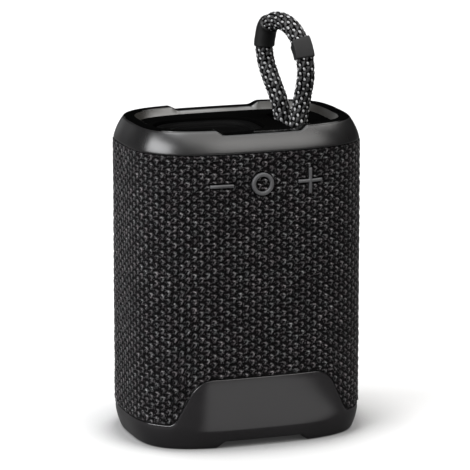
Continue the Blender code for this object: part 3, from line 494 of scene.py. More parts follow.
# The look of each material slot in the record.
CAD_FINISH = {
    "shell": "shell",
    "fabric": "fabric",
    "enclosure": "enclosure",
    "rubber_black": "rubber",
    "radiator_plate": "weight",
    "ferrite": "ferrite",
    "paper_cone": "cone",
    "copper": "copper",
    "steel": "steel",
    "symbol_rubber": "symbol",
    "cell_wrap": "cell",
    "circuit_board": "board",
    "wire": "wire",
    "rope": "rope",
    "clamp_plastic": "clamp",
}


def finish_cad_nodes():
    """Gives every carried-over CAD node the material of its slot in the record."""
    slots = {part["node"]: part["material_slot"] for part in frame["record"]["subparts"]}
    for name, obj in frame["nodes"].items():
        obj.data.materials.clear()
        obj.data.materials.append(MATERIALS[CAD_FINISH[slots[name]]])


# ------------------------------------------------------------------ crown


def crown_inset(height):
    """How far the crown's side leans in at a height above its lower edge."""
    return CROWN_STEP + CROWN_LEAN * height + CROWN_CURVE * height**2


def base_inset(height):
    """How far the base's side leans in at a depth below its upper edge."""
    return BASE_STEP + BASE_LEAN * height + BASE_CURVE * height**2


def rim_rows(outer, inner, height, sign):
    """Rings over a rim with rounded edges. sign is 1 for the crown and -1 for the foot."""
    r = EDGE_ROUND
    corner = r * (1 - math.sqrt(0.5))
    places = [(outer, -0.02, -r), (outer, corner, -corner), (outer, r, 0.0)]
    places += [(inner, -r, 0.0), (inner, -corner, -corner), (inner, 0.0, -r)]
    return [
        ring(lambda x, e=edge, i=inset: e(x) + i, lambda x, f=fall: height(x) + sign * f)
        for edge, inset, fall in places
    ]


CROWN_STEPS = 18  # rows of faces up its side
CROWN_LOWER_EDGE = ((CROWN_LINING, 0.1), (1.0, 0.0), (0.62, 0.02), (CROWN_STEP + 0.08, 0.1))  # inset, rise
CROWN_FLOOR_FILLET = ((-0.3, 0.45), (-0.05, 0.12), (FLOOR_OVERLAP, 0.01))  # inset, rise


def make_crown():
    """The crown is cut lower over its notches, so its flank keeps one profile all round."""
    rim_height = lambda x: BODY_TOP - notch(x, NOTCH_TOP)
    outer = lambda x: crown_inset(rim_height(x) - CROWN_BOTTOM)
    inner = lambda x: crown_inset(CROWN_RISE) + RIM_WIDTH + 0 * x
    floor_top = BODY_TOP - RECESS_DEPTH
    floor_low = floor_top - WALL
    rows = [ring(inset, CROWN_BOTTOM + rise) for inset, rise in CROWN_LOWER_EDGE]
    for i in range(1, CROWN_STEPS):
        rise = lambda x, s=i / CROWN_STEPS: s * (rim_height(x) - CROWN_BOTTOM)
        rows.append(ring(lambda x, r=rise: crown_inset(r(x)), lambda x, r=rise: CROWN_BOTTOM + r(x)))
    first_rim = len(rows)
    rows += rim_rows(outer, inner, rim_height, 1)
    last_rim = len(rows) - 1
    foot = crown_inset(CROWN_RISE) + RIM_WIDTH + RECESS_DRAFT
    rows += [ring(foot + inset, floor_top + rise) for inset, rise in CROWN_FLOOR_FILLET]
    rows.append(ring(foot + FLOOR_OVERLAP, floor_low))
    rows.append(ring(SHELL_INSIDE, floor_low))
    rows.append(ring(CROWN_LINING, floor_low - 1.1))
    mesh = fix_normals(grid_mesh("crown", rows, wrap_rows=True))
    # The inner side's look is a paler copy of the shell's, painted light; the recess's look is a darker
    # one, painted shade.
    looks = [MATERIALS[look] for look in ("shell", "rim", "painted_light_wall", "recess")]
    make_object("crown", mesh, looks, "speaker_body", ["top_cap"])
    row_of_face = np.arange(len(mesh.polygons)) // STATIONS
    look_of_face = np.searchsorted([first_rim, last_rim, last_rim + 1], row_of_face, side="right")
    mesh.polygons.foreach_set("material_index", look_of_face.astype(np.int32))
    return foot, floor_top


FLANGE, ROLL, LIP, SKIN = 3.4, 1.7, 0.9, 0.6
ROLL_FLATNESS = 0.75
WINDOW_POINTS, SURROUND_POINTS = 96, 128
FLOOR_POINTS, FLOOR_INSET = 200, 0.1
ROPE_SLOT = (4.6, 15.2)  # half sizes, 0.5 and 0.9 more than the CAD slot's for the swinging rope


def opening_of(surround):
    """Centre and half sizes of the window over a radiator, from its surround's box."""
    low, high = limits(surround)
    return middle_x(surround), (high.x - low.x) / 2 - FLANGE, (high.y - low.y) / 2 - FLANGE


def floor_outlines(foot, surround):
    """The outer edge of a recess floor, and its window over a radiator."""
    return [
        ring(foot + FLOOR_INSET, 0.0, FLOOR_POINTS)[:, :2],
        oval(*opening_of(surround), WINDOW_POINTS),
    ]


def make_crown_floor(foot, floor_top):
    outlines = floor_outlines(foot, "top_radiator_surround")
    outlines.append(slot_outline(middle_x("anchor_bar"), *ROPE_SLOT))
    middle_z = floor_top - WALL / 2
    # The floor plate takes the recess's near-black look, painted shade.
    plate("crown_floor", outlines, middle_z, WALL, FLOOR_EDGE, MATERIALS["recess"], ["top_cap"])


def oval_rows(node, section, start_z, out):
    """Rings inside a node's oval outline: section gives each one's inset, and its rise from start_z."""
    low, high = limits(node)
    half_x, half_y = (high.x - low.x) / 2, (high.y - low.y) / 2
    rows = []
    for inset, rise in section:
        points = oval(middle_x(node), half_x - inset, half_y - inset, SURROUND_POINTS)
        rows.append(np.column_stack([points, np.full(SURROUND_POINTS, start_z + out * rise)]))
    return rows


def surround_section():
    """The rubber skin from its flange over the half roll to the weight, as (inset, rise)."""
    soft = 0.05
    middle = FLANGE + 0.2 + ROLL
    end = middle + ROLL + LIP
    thin = ROLL - SKIN
    arc = np.linspace(0, math.pi, 13)
    section = [(soft, 0.0), (0.0, SKIN / 2), (soft, SKIN)]
    section += [(middle - ROLL * math.cos(a), SKIN + ROLL * ROLL_FLATNESS * math.sin(a)) for a in arc]
    section += [(end - soft, SKIN), (end, SKIN / 2), (end - soft, 0.0)]
    section += [(middle + thin * math.cos(a), thin * ROLL_FLATNESS * math.sin(a)) for a in arc]
    return section, end


def make_radiator(side, out):
    """The rubber surround with its half roll, and the weighted plate with a raised border."""
    node = side + "_radiator_surround"
    low, high = limits(node)
    back = low.z if out > 0 else high.z
    section, end = surround_section()
    rows = oval_rows(node, section, back, out)
    mesh = fix_normals(grid_mesh(side + "_surround", rows, wrap_rows=True))
    make_object(side + "_surround", mesh, MATERIALS["rubber"], "speaker_body", [node])
    hub = end + GAP
    border = ((0.0, -1.2), (0.0, -0.2), (0.2, 0.0), (1.6, 0.0), (1.9, -0.35), (2.4, -0.4))
    profile = [(hub + inset, rise) for inset, rise in border]
    rows = oval_rows(node, profile, back + out * (SKIN + 0.3), out)
    mesh = fix_normals(grid_mesh(side + "_weight", rows, caps=True))
    plate_node = side + "_radiator_plate"
    make_object(side + "_weight", mesh, MATERIALS["weight"], "speaker_body", [plate_node])


# ------------------------------------------------------------------ base


BASE_FACE_STEPS, BASE_ROLL_STEPS = 8, 16  # rows of faces down its side
BASE_EDGE_PLACES = (0.0, 0.15, 0.35, 0.6, 0.8)
BASE_FLOOR = RECESS_DEPTH + 0.8
SCREW_WINDOW, SCREWS = 1.25, 4
FLAP_CORNER, WINDOW_CORNER = 0.8, 0.9


def crease_height(x):
    """Height of the crease between an apron's face and the lower roll."""
    return BASE_TOP + (APRON_CREASE - BASE_TOP) * apron_share(x)


def face_inset(x):
    """How far the face above the crease stands inside the body's outline."""
    return BASE_STEP + (APRON_STEP - BASE_STEP) * apron_share(x)


def roll_inset(x, height):
    """The lower roll: one smooth curve on the sides, and turned in from a crease under an apron."""
    plain = base_inset(BASE_TOP - height)
    crease = crease_height(x)
    part = (crease - height) / crease
    creased = BASE_STEP + (base_inset(BASE_TOP) - BASE_STEP) * (0.52 * part + 0.48 * part**2)
    return plain + (creased - plain) * apron_share(x)


def flank_inset(x, height):
    """The whole side of the base: the face of an apron above its crease, and the roll below."""
    crease = crease_height(x)
    above = np.maximum(height - crease, 0.0) / (apron_edge(x) - crease + 1.0)
    return roll_inset(x, np.minimum(height, crease)) + (face_inset(x) - BASE_STEP) * above


def make_base():
    rim_height = lambda x: notch(x, NOTCH_FOOT)
    outer = lambda x: roll_inset(x, rim_height(x))
    inner = lambda x: base_inset(BASE_TOP) + RIM_WIDTH + 0 * x
    edge_tall = lambda x: 2.2 - 2.0 * apron_share(x)
    edge_deep = lambda x: 0.3 - 0.18 * apron_share(x)
    rows = [ring(BASE_LINING, lambda x: apron_edge(x) - 0.5), ring(BASE_LINING - 0.05, apron_edge)]
    for s in BASE_EDGE_PLACES:
        height = lambda x, s=s: apron_edge(x) - edge_tall(x) * s
        inset = lambda x, s=s, h=height: flank_inset(x, h(x)) + edge_deep(x) * (1 - s) ** 2
        rows.append(ring(inset, height))
    top_of_face = lambda x: apron_edge(x) - edge_tall(x)
    end_of_face = lambda x: np.minimum(crease_height(x) + 0.25 * apron_share(x), top_of_face(x) - 0.8)
    for i in range(BASE_FACE_STEPS + 1):
        height = lambda x, s=i / BASE_FACE_STEPS: top_of_face(x) + (end_of_face(x) - top_of_face(x)) * s
        rows.append(ring(lambda x, h=height: flank_inset(x, h(x)), height))
    for i in range(1, BASE_ROLL_STEPS):
        share = i / BASE_ROLL_STEPS
        height = lambda x, s=share: end_of_face(x) * (1 - s) + (rim_height(x) + EDGE_ROUND) * s
        rows.append(ring(lambda x, h=height: flank_inset(x, h(x)), height))
    rows += rim_rows(outer, inner, rim_height, -1)
    foot = base_inset(BASE_TOP) + RIM_WIDTH + RECESS_DRAFT
    rows.append(ring(foot - 0.3, BASE_FLOOR - 0.45))
    rows.append(ring(foot + FLOOR_OVERLAP, BASE_FLOOR - 0.01))
    rows.append(ring(foot + FLOOR_OVERLAP, BASE_FLOOR + WALL))
    rows.append(ring(SHELL_INSIDE, BASE_FLOOR + WALL))
    rows.append(ring(BASE_LINING, BASE_FLOOR + WALL + 1.0))
    mesh = fix_normals(grid_mesh("base", rows, wrap_rows=True))
    base = make_object("base", mesh, MATERIALS["base"], "speaker_body", ["bottom_cap"])
    cut_flap_window(base)
    return foot


def cut_flap_window(base):
    """Cuts the opening for the port flap through the rear apron."""
    low, high = limits("port_cover")
    through = 10.0
    size = (high.x - low.x + 2 * GAP, through, high.z - low.z + 2 * GAP)
    bm = box_bmesh(size, (0.0, HALF_Y, (high.z + low.z) / 2))
    round_edges(bm, [edge for edge in bm.edges if along_y(edge, through / 2)], WINDOW_CORNER, 5)
    tool = bpy.data.objects.new("flap_window", metre_mesh("flap_window", bm))
    bpy.context.scene.collection.objects.link(tool)
    cut = base.modifiers.new("flap_window", "BOOLEAN")
    cut.operation = "DIFFERENCE"
    cut.object = tool
    cut.solver = "EXACT"
    apply_modifiers(base)
    bpy.data.objects.remove(tool)


def apply_modifiers(obj):
    depsgraph = bpy.context.evaluated_depsgraph_get()
    mesh = bpy.data.meshes.new_from_object(obj.evaluated_get(depsgraph))
    obj.modifiers.clear()
    obj.data = mesh


def make_base_floor(foot):
    outlines = floor_outlines(foot, "bottom_radiator_surround")
    for i in range(SCREWS):
        low, high = limits(f"base_screw_{i + 1}")
        centre = ((low.x + high.x) / 2, (low.y + high.y) / 2)
        outlines.append(oval(0.0, SCREW_WINDOW, SCREW_WINDOW, 24, 2.0) + np.array(centre))
    middle_z = BASE_FLOOR + WALL / 2
    plate("base_floor", outlines, middle_z, WALL, FLOOR_EDGE, MATERIALS["base"], ["bottom_cap"])


# ------------------------------------------------------------------ fabric

STITCH_WIDE, STITCH_TALL = 2.25, 2.98
STITCH_COLUMNS = 2 * round(GIRTH / STITCH_WIDE / 2)
STITCH_STEP = GIRTH / STITCH_COLUMNS
CLOTH_PER_STITCH = 6  # points across a stitch
STITCH_DEPTH, STITCH_MIDDLE = 0.62, 0.75
STITCH_STRAY = (0.12, 0.14)  # how far a stitch is from its place, across and up
STITCH_SPREAD, STITCH_LEAN = 0.09, 9
STITCH_SEED, STITCH_ROWS = 7, 48  # the random numbers repeat after this many rows
STROKES = (  # middle, half length, half width, turn in degrees, height
    ((0.05, 0.55), 0.88, 0.36, -22, 1.0),
    ((0.25, -0.15), 0.74, 0.33, 62, 0.88),
    ((-0.1, -0.85), 0.55, 0.3, -15, 0.72),
)
LOOSE_ENDS = ((-1.0, 0.4), (-0.7, -0.35), (0.9, -0.8), (1.1, 0.2))
LOOSE_STRAY, LOOSE_TURN, LOOSE_HEIGHT = 0.3, 80, 0.55
CLOTH_MARGIN, CLOTH_TUCK = 0.12, 0.6
SYMBOL_GAP, SYMBOL_PIT = 0.24, 2.0


def ellipse(du, dv, centre, half_long, half_short, turn):
    """1 at the middle of a turned ellipse, falling to 0 at its edge as a round swelling."""
    cos, sin = np.cos(np.radians(turn)), np.sin(np.radians(turn))
    a = (du - centre[0]) * cos + (dv - centre[1]) * sin
    b = -(du - centre[0]) * sin + (dv - centre[1]) * cos
    return np.sqrt(np.maximum(1 - (a / half_long) ** 2 - (b / half_short) ** 2, 0))


def stitch(du, dv, rand):
    """Height of one stitch at places from its middle. rand is its own random numbers, -1 to 1."""
    du = du + STITCH_STRAY[0] * rand[..., 0]
    dv = dv + STITCH_STRAY[1] * rand[..., 1]
    size = 1 + STITCH_SPREAD * rand[..., 2]
    level = 0.86 + 0.14 * rand[..., 3]
    du, dv = du / size, dv / size
    lean = STITCH_LEAN * rand[..., 2]
    shape = np.zeros(du.shape)
    for middle, half_long, half_short, turn, height in STROKES:
        shape = np.maximum(shape, height * ellipse(du, dv, middle, half_long, half_short, lean + turn))
    for k, (across, up) in enumerate(LOOSE_ENDS):
        turn, stray_across, stray_up = (rand[..., 4 + 3 * k + n] for n in range(3))
        across = across + LOOSE_STRAY * stray_across
        up = up + LOOSE_STRAY * stray_up
        end = ellipse(du - across, dv - up, (0, 0), 0.42, 0.25, LOOSE_TURN * turn)
        shape = np.maximum(shape, LOOSE_HEIGHT * end)
    return level * shape


def knit(arc, z):
    """Height of the knitted surface, 0 to 1, at arc lengths round the body and heights z."""
    dice = np.random.default_rng(STITCH_SEED)
    jitter = dice.uniform(-1, 1, (STITCH_COLUMNS, STITCH_ROWS, 4 + 3 * len(LOOSE_ENDS)))
    column = np.round(arc / STITCH_STEP).astype(int)
    best = np.zeros(np.broadcast(arc, z).shape)
    for side in (-1, 0, 1):
        i = column + side
        shift = (i % 2) * STITCH_TALL / 2
        row = np.round((z - shift) / STITCH_TALL).astype(int)
        for step in (-1, 0, 1):
            j = row + step
            rand = jitter[i % STITCH_COLUMNS, j % STITCH_ROWS]
            best = np.maximum(best, stitch(arc - i * STITCH_STEP, z - shift - j * STITCH_TALL, rand))
    return best


def in_symbol(x, z, spare):
    """Whether a place on the front is inside any button symbol grown by spare."""
    half, stroke = PLUS_SIZE / 2 + spare, SYMBOL_STROKE / 2 + spare
    dz = z - BUTTON_Z
    minus = (np.abs(x - BUTTON_X["minus"]) < MINUS_SIZE / 2 + spare) & (np.abs(dz) < stroke)
    dx = x - BUTTON_X["plus"]
    plus = ((np.abs(dx) < half) & (np.abs(dz) < stroke)) | ((np.abs(dx) < stroke) & (np.abs(dz) < half))
    disc = np.hypot(x - BUTTON_X["ring"], dz) < RING_OUT + spare
    return minus | plus | disc


def cloth_points(arc, z, inset=0.0):
    """Points of the knitted surface, and how high each stands."""
    x, y, nx, ny = plan_at(arc)
    lift_and_shade = knit(arc, z)
    out = STITCH_DEPTH * (lift_and_shade - STITCH_MIDDLE) - inset
    return np.stack([x + nx * out, y + ny * out, z], axis=-1), lift_and_shade


def make_sleeve():
    """The knitted sheet, tucked in at its edges and sunk under the button symbols."""
    columns = STITCH_COLUMNS * CLOTH_PER_STITCH
    count = round((SLEEVE_HIGH.z - BASE_TOP) / STITCH_STEP * CLOTH_PER_STITCH)
    arc = np.arange(columns) * GIRTH / columns
    x, y, _, _ = plan_at(arc)
    low = apron_edge(x) + CLOTH_MARGIN
    high = CROWN_BOTTOM - CLOTH_MARGIN
    share = np.linspace(0, 1, count)[:, None]
    z = low[None, :] + (high - low[None, :]) * share
    arc_grid = np.broadcast_to(arc, z.shape)
    edge = np.minimum(z - low[None, :], high - z)
    tuck = CLOTH_TUCK * (1 - smooth(edge / CLOTH_TUCK)) ** 2
    front = y[None, :] < 0
    pit = np.where(front & in_symbol(np.broadcast_to(x, z.shape), z, SYMBOL_GAP), SYMBOL_PIT, 0.0)
    points, lift_and_shade = cloth_points(arc_grid, z, tuck + pit)
    mesh = fix_normals(grid_mesh("knitted_sleeve", points))
    # Painted shade: the colour darkens in the pits under the symbols and towards the tucked edges.
    lift_and_shade = lift_and_shade * (1 - 0.8 * (pit > 0)) * (0.35 + 0.65 * smooth(edge / 0.7))
    paint(mesh, "lift_and_shade", lift_and_shade)
    sleeve = make_object(
        "knitted_sleeve", mesh, MATERIALS["fabric"], "speaker_body", ["fabric_sleeve"]
    )


# ------------------------------------------------------------------ buttons

RING_POINTS = 96


def bend_to_front(mesh):
    """Moves points given at depth 0 onto the curved front of the body."""
    for vert in mesh.vertices:
        vert.co.y -= float(front_depth(vert.co.x / MM)) * MM
    return mesh


def make_outline_symbol(side, outline):
    """A raised outline with rounded front edges, bent to the front of the body."""
    edge, front = BUTTON_EDGE, -BUTTON_PROUD
    layers = [(0.0, BUTTON_SUNK), (0.0, front + edge), (edge * 0.3, front + edge * 0.3), (edge, front)]
    rows = []
    for inset, depth in layers:
        rows.append([(x, depth, z) for x, z in shrink(outline, inset)])
    name, node, body = side + "_symbol", side + "_button", side + "_button_body"
    mesh = bend_to_front(fix_normals(grid_mesh(name, rows, caps=True)))
    make_object(name, mesh, MATERIALS["symbol"], body, [node])


def shrink(outline, inset):
    """An anticlockwise outline moved inwards along its corners' bisectors."""
    points = np.asarray(outline, float)
    before, after = np.roll(points, 1, axis=0), np.roll(points, -1, axis=0)
    first = points - before
    second = after - points
    first /= np.linalg.norm(first, axis=1)[:, None]
    second /= np.linalg.norm(second, axis=1)[:, None]
    normal_1 = np.stack([-first[:, 1], first[:, 0]], axis=1)
    normal_2 = np.stack([-second[:, 1], second[:, 0]], axis=1)
    bisector = normal_1 + normal_2
    scale = 2 / np.maximum((bisector**2).sum(axis=1), 0.5)
    return points + bisector * scale[:, None] * inset


def bar_outline(x, half_x, half_z, steps=24):
    """A bar with softly rounded corners, with points along it so that it can bend."""
    corner = 0.22
    points = []
    for sx, sz, start in ((1, 1, 0), (-1, 1, 90), (-1, -1, 180), (1, -1, 270)):
        for k in range(4):
            angle = math.radians(start + 30 * k)
            across = sx * (half_x - corner) + corner * math.cos(angle)
            up = sz * (half_z - corner) + corner * math.sin(angle)
            points.append((x + across, BUTTON_Z + up))
        if sx == sz:
            shares = [1 - 2 * k / steps for k in range(2, steps - 1)]
            points += [(x + sx * half_x * share, BUTTON_Z + sz * half_z) for share in shares]
    return points


def plus_outline(x):
    """A plus sign, with points along its arms so that they can bend."""
    half, stroke = PLUS_SIZE / 2, SYMBOL_STROKE / 2
    arm = [(half, -stroke), (half, stroke), (stroke, stroke)]
    points = []
    for quarter in range(4):
        cos, sin = (1, 0, -1, 0)[quarter], (0, 1, 0, -1)[quarter]
        for px, pz in arm:
            points.append((x + px * cos - pz * sin, BUTTON_Z + px * sin + pz * cos))
    dense = []
    for start, end in zip(points, points[1:] + points[:1]):
        pieces = max(1, round(math.dist(start, end) / 0.6))
        dense += [
            (start[0] + (end[0] - start[0]) * k / pieces, start[1] + (end[1] - start[1]) * k / pieces)
            for k in range(pieces)
        ]
    return dense


def make_ring_symbol():
    """A round band with a flattened face."""
    x0 = BUTTON_X["ring"]
    middle, half = (RING_OUT + RING_IN) / 2, (RING_OUT - RING_IN) / 2
    front = -BUTTON_PROUD
    edge = [(half, BUTTON_SUNK), (half, front + BUTTON_EDGE), (half - 0.09, front + 0.08)]
    edge.append((half - BUTTON_EDGE, front))
    section = [(-offset, depth) for offset, depth in edge] + edge[::-1]
    angle = np.arange(RING_POINTS) * TAU / RING_POINTS
    rows = []
    for offset, depth in section:
        x = x0 + (middle + offset) * np.cos(angle)
        z = BUTTON_Z + (middle + offset) * np.sin(angle)
        rows.append(np.stack([x, np.full(RING_POINTS, depth), z], axis=1))
    mesh = bend_to_front(fix_normals(grid_mesh("ring_symbol", rows, wrap_rows=True)))
    make_object(
        "ring_symbol", mesh, MATERIALS["symbol"], "ring_button_body", ["ring_button"]
    )


def arc_of_front(x):
    """Arc length round the body to places x on its front."""
    start = np.searchsorted(PLAN_ARC, GIRTH / 2)
    right = slice(start, start + PLAN_STEPS // 6)
    beyond = np.interp(np.abs(x), PLAN_X[right], PLAN_ARC[right] - GIRTH / 2)
    return GIRTH / 2 + np.sign(x) * beyond


def make_ring_fabric():
    """The disc of fabric inside the ring, which moves with it."""
    radii = np.linspace(0.02, RING_IN + 0.1, 16)[:, None]
    angle = (np.arange(72) * TAU / 72)[None, :]
    arc = arc_of_front(BUTTON_X["ring"] + radii * np.cos(angle))
    points, lift_and_shade = cloth_points(arc, BUTTON_Z + radii * np.sin(angle), 0.05)
    mesh = fix_normals(grid_mesh("ring_fabric", points))
    paint(mesh, "lift_and_shade", lift_and_shade)
    make_object("ring_fabric", mesh, MATERIALS["fabric"], "ring_button_body")


def make_symbols():
    make_outline_symbol("minus", bar_outline(BUTTON_X["minus"], MINUS_SIZE / 2, SYMBOL_STROKE / 2))
    make_outline_symbol("plus", plus_outline(BUTTON_X["plus"]))
    make_ring_symbol()
    make_ring_fabric()


# ------------------------------------------------------------------ rope loop

# Points on the rope's centre line: the part above the crown's floor is fitted to the photo, and the
# rest goes round the anchor bar.
ROPE_ROUTE = (
    (15.3, 12.9, 134.8), (15.1, 13.5, 130.6), (15.4, 12.6, 126.0), (16.2, 10.5, 121.3),
    (17.2, 8.4, 117.0), (18.3, 6.9, 112.6), (19.3, 6.1, 107.0), (20.0, 5.85, 101.0),
    (20.0, 4.1, 96.8), (20.0, 0.0, 95.15), (20.0, -4.1, 96.8), (20.0, -5.85, 101.0),
    (20.7, -5.6, 107.0), (21.6, -5.6, 113.0), (22.3, -6.5, 118.4), (22.7, -7.3, 123.6),
    (22.5, -6.7, 129.4), (21.8, -4.2, 134.6), (20.5, -0.3, 138.7), (18.8, 3.9, 140.7),
    (17.0, 8.6, 140.6), (15.8, 11.7, 138.4),
)  # fmt: skip
ROPE_RADIUS, ROPE_RELIEF = 3.0, 0.5
ROPE_SPACING, ROPE_POINTS, ROPE_TRIM = 0.24, 88, 2
FITTING_SPACING = 0.25
CLAMP_POINT = (21.9, -5.2, 132.0)
TUBE_POINT = (15.35, 12.7, 135.6)
CLAMP_TURN = math.radians(12)
CLAMP_HALF_LENGTH, CLAMP_HALF_WIDTH, CLAMP_CORNER, CLAMP_HOLE = 3.3, 3.25, 0.5, 3.05
TUBE_HALF_LENGTH, TUBE_RADIUS, TUBE_HOLE = 4.4, 3.62, 3.15
FLECKS_ROUND, FLECK_PITCH = 12, 3.35
FLECK = (0.66, 0.48, 62)  # half length, half width, turn in degrees
STRAND = (1.35, 0.62, 122)
CROSSING = (1.1, 0.5, 50)
BRAID_SEED, BRAID_ROWS = 11, 80


def closed_curve(points, spacing):
    """Points along a closed smooth curve through the given ones, evenly spread."""
    knots = [Vector(p) for p in points]
    count = len(knots)
    fine = []
    for i in range(count):
        before, start, end, after = (knots[(i + k) % count] for k in (-1, 0, 1, 2))
        for step in range(24):
            t = step / 24
            square = 2 * before - 5 * start + 4 * end - after
            cube = 3 * start - before - 3 * end + after
            fine.append(0.5 * (2 * start + (end - before) * t + square * t**2 + cube * t**3))
    fine.append(fine[0].copy())
    fine = np.array(fine)
    arc = np.concatenate([[0], np.cumsum(np.linalg.norm(np.diff(fine, axis=0), axis=1))])
    places = np.linspace(0, arc[-1], round(arc[-1] / spacing) + 1)
    path = np.stack([np.interp(places, arc, fine[:, k]) for k in range(3)], axis=1)
    return path, arc[-1]


def frames_along(path, closed=True):
    """Tangent, side and out directions for each point, with the side kept near +X."""
    if closed:
        ahead = np.roll(path[:-1], -1, axis=0) - np.roll(path[:-1], 1, axis=0)
        ahead = np.vstack([ahead, ahead[:1]])
    else:
        ahead = np.gradient(path, axis=0)
    ahead /= np.linalg.norm(ahead, axis=1)[:, None]
    across = np.array([1.0, 0.0, 0.0])
    out = np.cross(across, ahead)
    out /= np.linalg.norm(out, axis=1)[:, None]
    side = np.cross(ahead, out)
    return ahead, side, out


def swelling(du, dv, centre, kind, turn):
    half_long, half_short, lean = kind
    return ellipse(du, dv, centre, half_long, half_short, lean + turn)


def braid(angle, along, total):
    """Lift (0 to 1) and paleness of the braid at angles and lengths along the rope."""
    pitch = total / round(total / FLECK_PITCH)
    wide = TAU * ROPE_RADIUS / FLECKS_ROUND
    u = angle / TAU * FLECKS_ROUND
    column = np.round(u).astype(int)
    light = np.zeros(angle.shape)
    dark = np.zeros(angle.shape)
    dice = np.random.default_rng(BRAID_SEED)
    jitter = dice.uniform(-1, 1, (FLECKS_ROUND, BRAID_ROWS, 3))
    for side in (-1, 0, 1):
        i = column + side
        for family, phase in (("light", 0.0), ("dark", 0.5)):
            shift = ((i % 2) * 0.5 + phase) * pitch
            row = np.round((along - shift) / pitch).astype(int)
            rand = jitter[i % FLECKS_ROUND, row % BRAID_ROWS]
            du = (u - i) * wide + 0.16 * rand[..., 0]
            dv = along - shift - row * pitch + 0.24 * rand[..., 1]
            size = 1 + 0.14 * rand[..., 2]
            turn = 15 * rand[..., 2]
            if family == "light":
                light = np.maximum(light, swelling(du / size, dv / size, (0, 0), FLECK, turn))
            else:
                dark = np.maximum(dark, swelling(du / size, dv / size, (0, 0), STRAND, turn))
                dark = np.maximum(dark, 0.8 * swelling(du, dv, (0.1, 0.2), CROSSING, turn))
    dark = 0.85 * dark
    return np.maximum(light, dark), np.where(light > dark, light, 0.0)


def make_rope():
    """The braided rope, whose two ends meet inside the black tube."""
    path, total = closed_curve(ROPE_ROUTE, ROPE_SPACING)
    _, side, out = frames_along(path)
    keep = slice(ROPE_TRIM, len(path) - ROPE_TRIM)
    angle = (np.arange(ROPE_POINTS) * TAU / ROPE_POINTS)[None, :]
    along = (np.arange(len(path)) * total / (len(path) - 1))[:, None]
    angle_grid, along_grid = np.broadcast_arrays(angle, along)
    lift_and_shade, light = braid(angle_grid, along_grid, total)
    radius = ROPE_RADIUS + ROPE_RELIEF * (lift_and_shade - 0.6)
    cos, sin = np.cos(angle_grid)[..., None], np.sin(angle_grid)[..., None]
    spread = side[:, None, :] * cos + out[:, None, :] * sin
    points = path[:, None, :] + spread * radius[..., None]
    mesh = fix_normals(grid_mesh("braided_loop", points[keep], caps=True))
    paint(mesh, "fleck", light[keep])
    paint(mesh, "lift_and_shade", lift_and_shade[keep])
    rope = make_object("braided_loop", mesh, MATERIALS["rope"], "loop_body", ["wrist_loop"])
    route = path[keep][::4]
    route = np.vstack([route, path[keep][-1:]])
    length = np.linalg.norm(np.diff(route, axis=0), axis=1).sum()
    return rope, route, length


def make_fitting(name, middle, half_length, section, hole, material, node):
    """A tube of the given section round part of the rope, with rounded ends."""
    path = closed_curve(ROPE_ROUTE, FITTING_SPACING)[0][:-1]
    nearest = int(np.argmin(np.linalg.norm(path - np.array(middle), axis=1)))
    reach = round(half_length / FITTING_SPACING)
    picks = path[[(nearest + k) % len(path) for k in range(-reach, reach + 1)]]
    ahead, side, out = frames_along(picks, closed=False)
    section = np.asarray(section)
    angle = np.arctan2(section[:, 1], section[:, 0])
    circle = np.stack([np.cos(angle), np.sin(angle)], axis=1) * hole

    def place(k, outline, push=0.0):
        return picks[k] + side[k] * outline[:, :1] + out[k] * outline[:, 1:] + ahead[k] * push

    size = np.abs(section).max()
    last = len(picks) - 1
    end, edge = section * (1 - 0.5 / size), section * (1 - 0.15 / size)
    rows = [place(0, circle), place(0, end), place(0, edge, 0.12)]
    rows += [place(k, section) for k in range(2, last - 1)]
    rows += [place(last, edge, -0.12), place(last, end)]
    rows += [place(k, circle) for k in range(last, 0, -1)]
    mesh = fix_normals(grid_mesh(name, rows, wrap_rows=True))
    return make_object(name, mesh, material, "loop_body", [node])


def soft_square(half, corner, turn=0.0, steps=8):
    """A square with round corners, turned about its middle."""
    section = []
    for quarter in range(4):
        middle = math.radians(45 + 90 * quarter)
        cx = math.copysign(half - corner, math.cos(middle))
        cy = math.copysign(half - corner, math.sin(middle))
        for k in range(steps):
            angle = math.radians(90 * quarter + 90 * k / (steps - 1))
            x, y = cx + corner * math.cos(angle), cy + corner * math.sin(angle)
            across = x * math.cos(turn) - y * math.sin(turn)
            section.append((across, x * math.sin(turn) + y * math.cos(turn)))
    return section


def make_loop():
    """The rope, the black tube over its joint and the grey clamp."""
    rope, route, length = make_rope()
    angle = np.arange(48) * TAU / 48
    section = np.stack([np.cos(angle), np.sin(angle)], axis=1) * TUBE_RADIUS
    look = MATERIALS["tube"]
    tube = make_fitting(
        "joint_tube", TUBE_POINT, TUBE_HALF_LENGTH, section, TUBE_HOLE, look, "loop_sleeve"
    )
    section = soft_square(CLAMP_HALF_WIDTH, CLAMP_CORNER, CLAMP_TURN)
    look = MATERIALS["clamp"]
    clamp = make_fitting(
        "rope_clamp", CLAMP_POINT, CLAMP_HALF_LENGTH, section, CLAMP_HOLE, look, "loop_clamp"
    )


# ------------------------------------------------------------------ port flap


FLAP_THICK, FLAP_EDGE = 1.1, 0.22
FLAP_LIP = (6.0, 1.2, 1.0)
LIP_PROUD, LIP_DROP = 0.5, 1.3  # how far the lip stands out, and its middle below the flap's top
PORT_PLUG = (7.6, 2.2, 2.6)
PORT_Z = 17.1


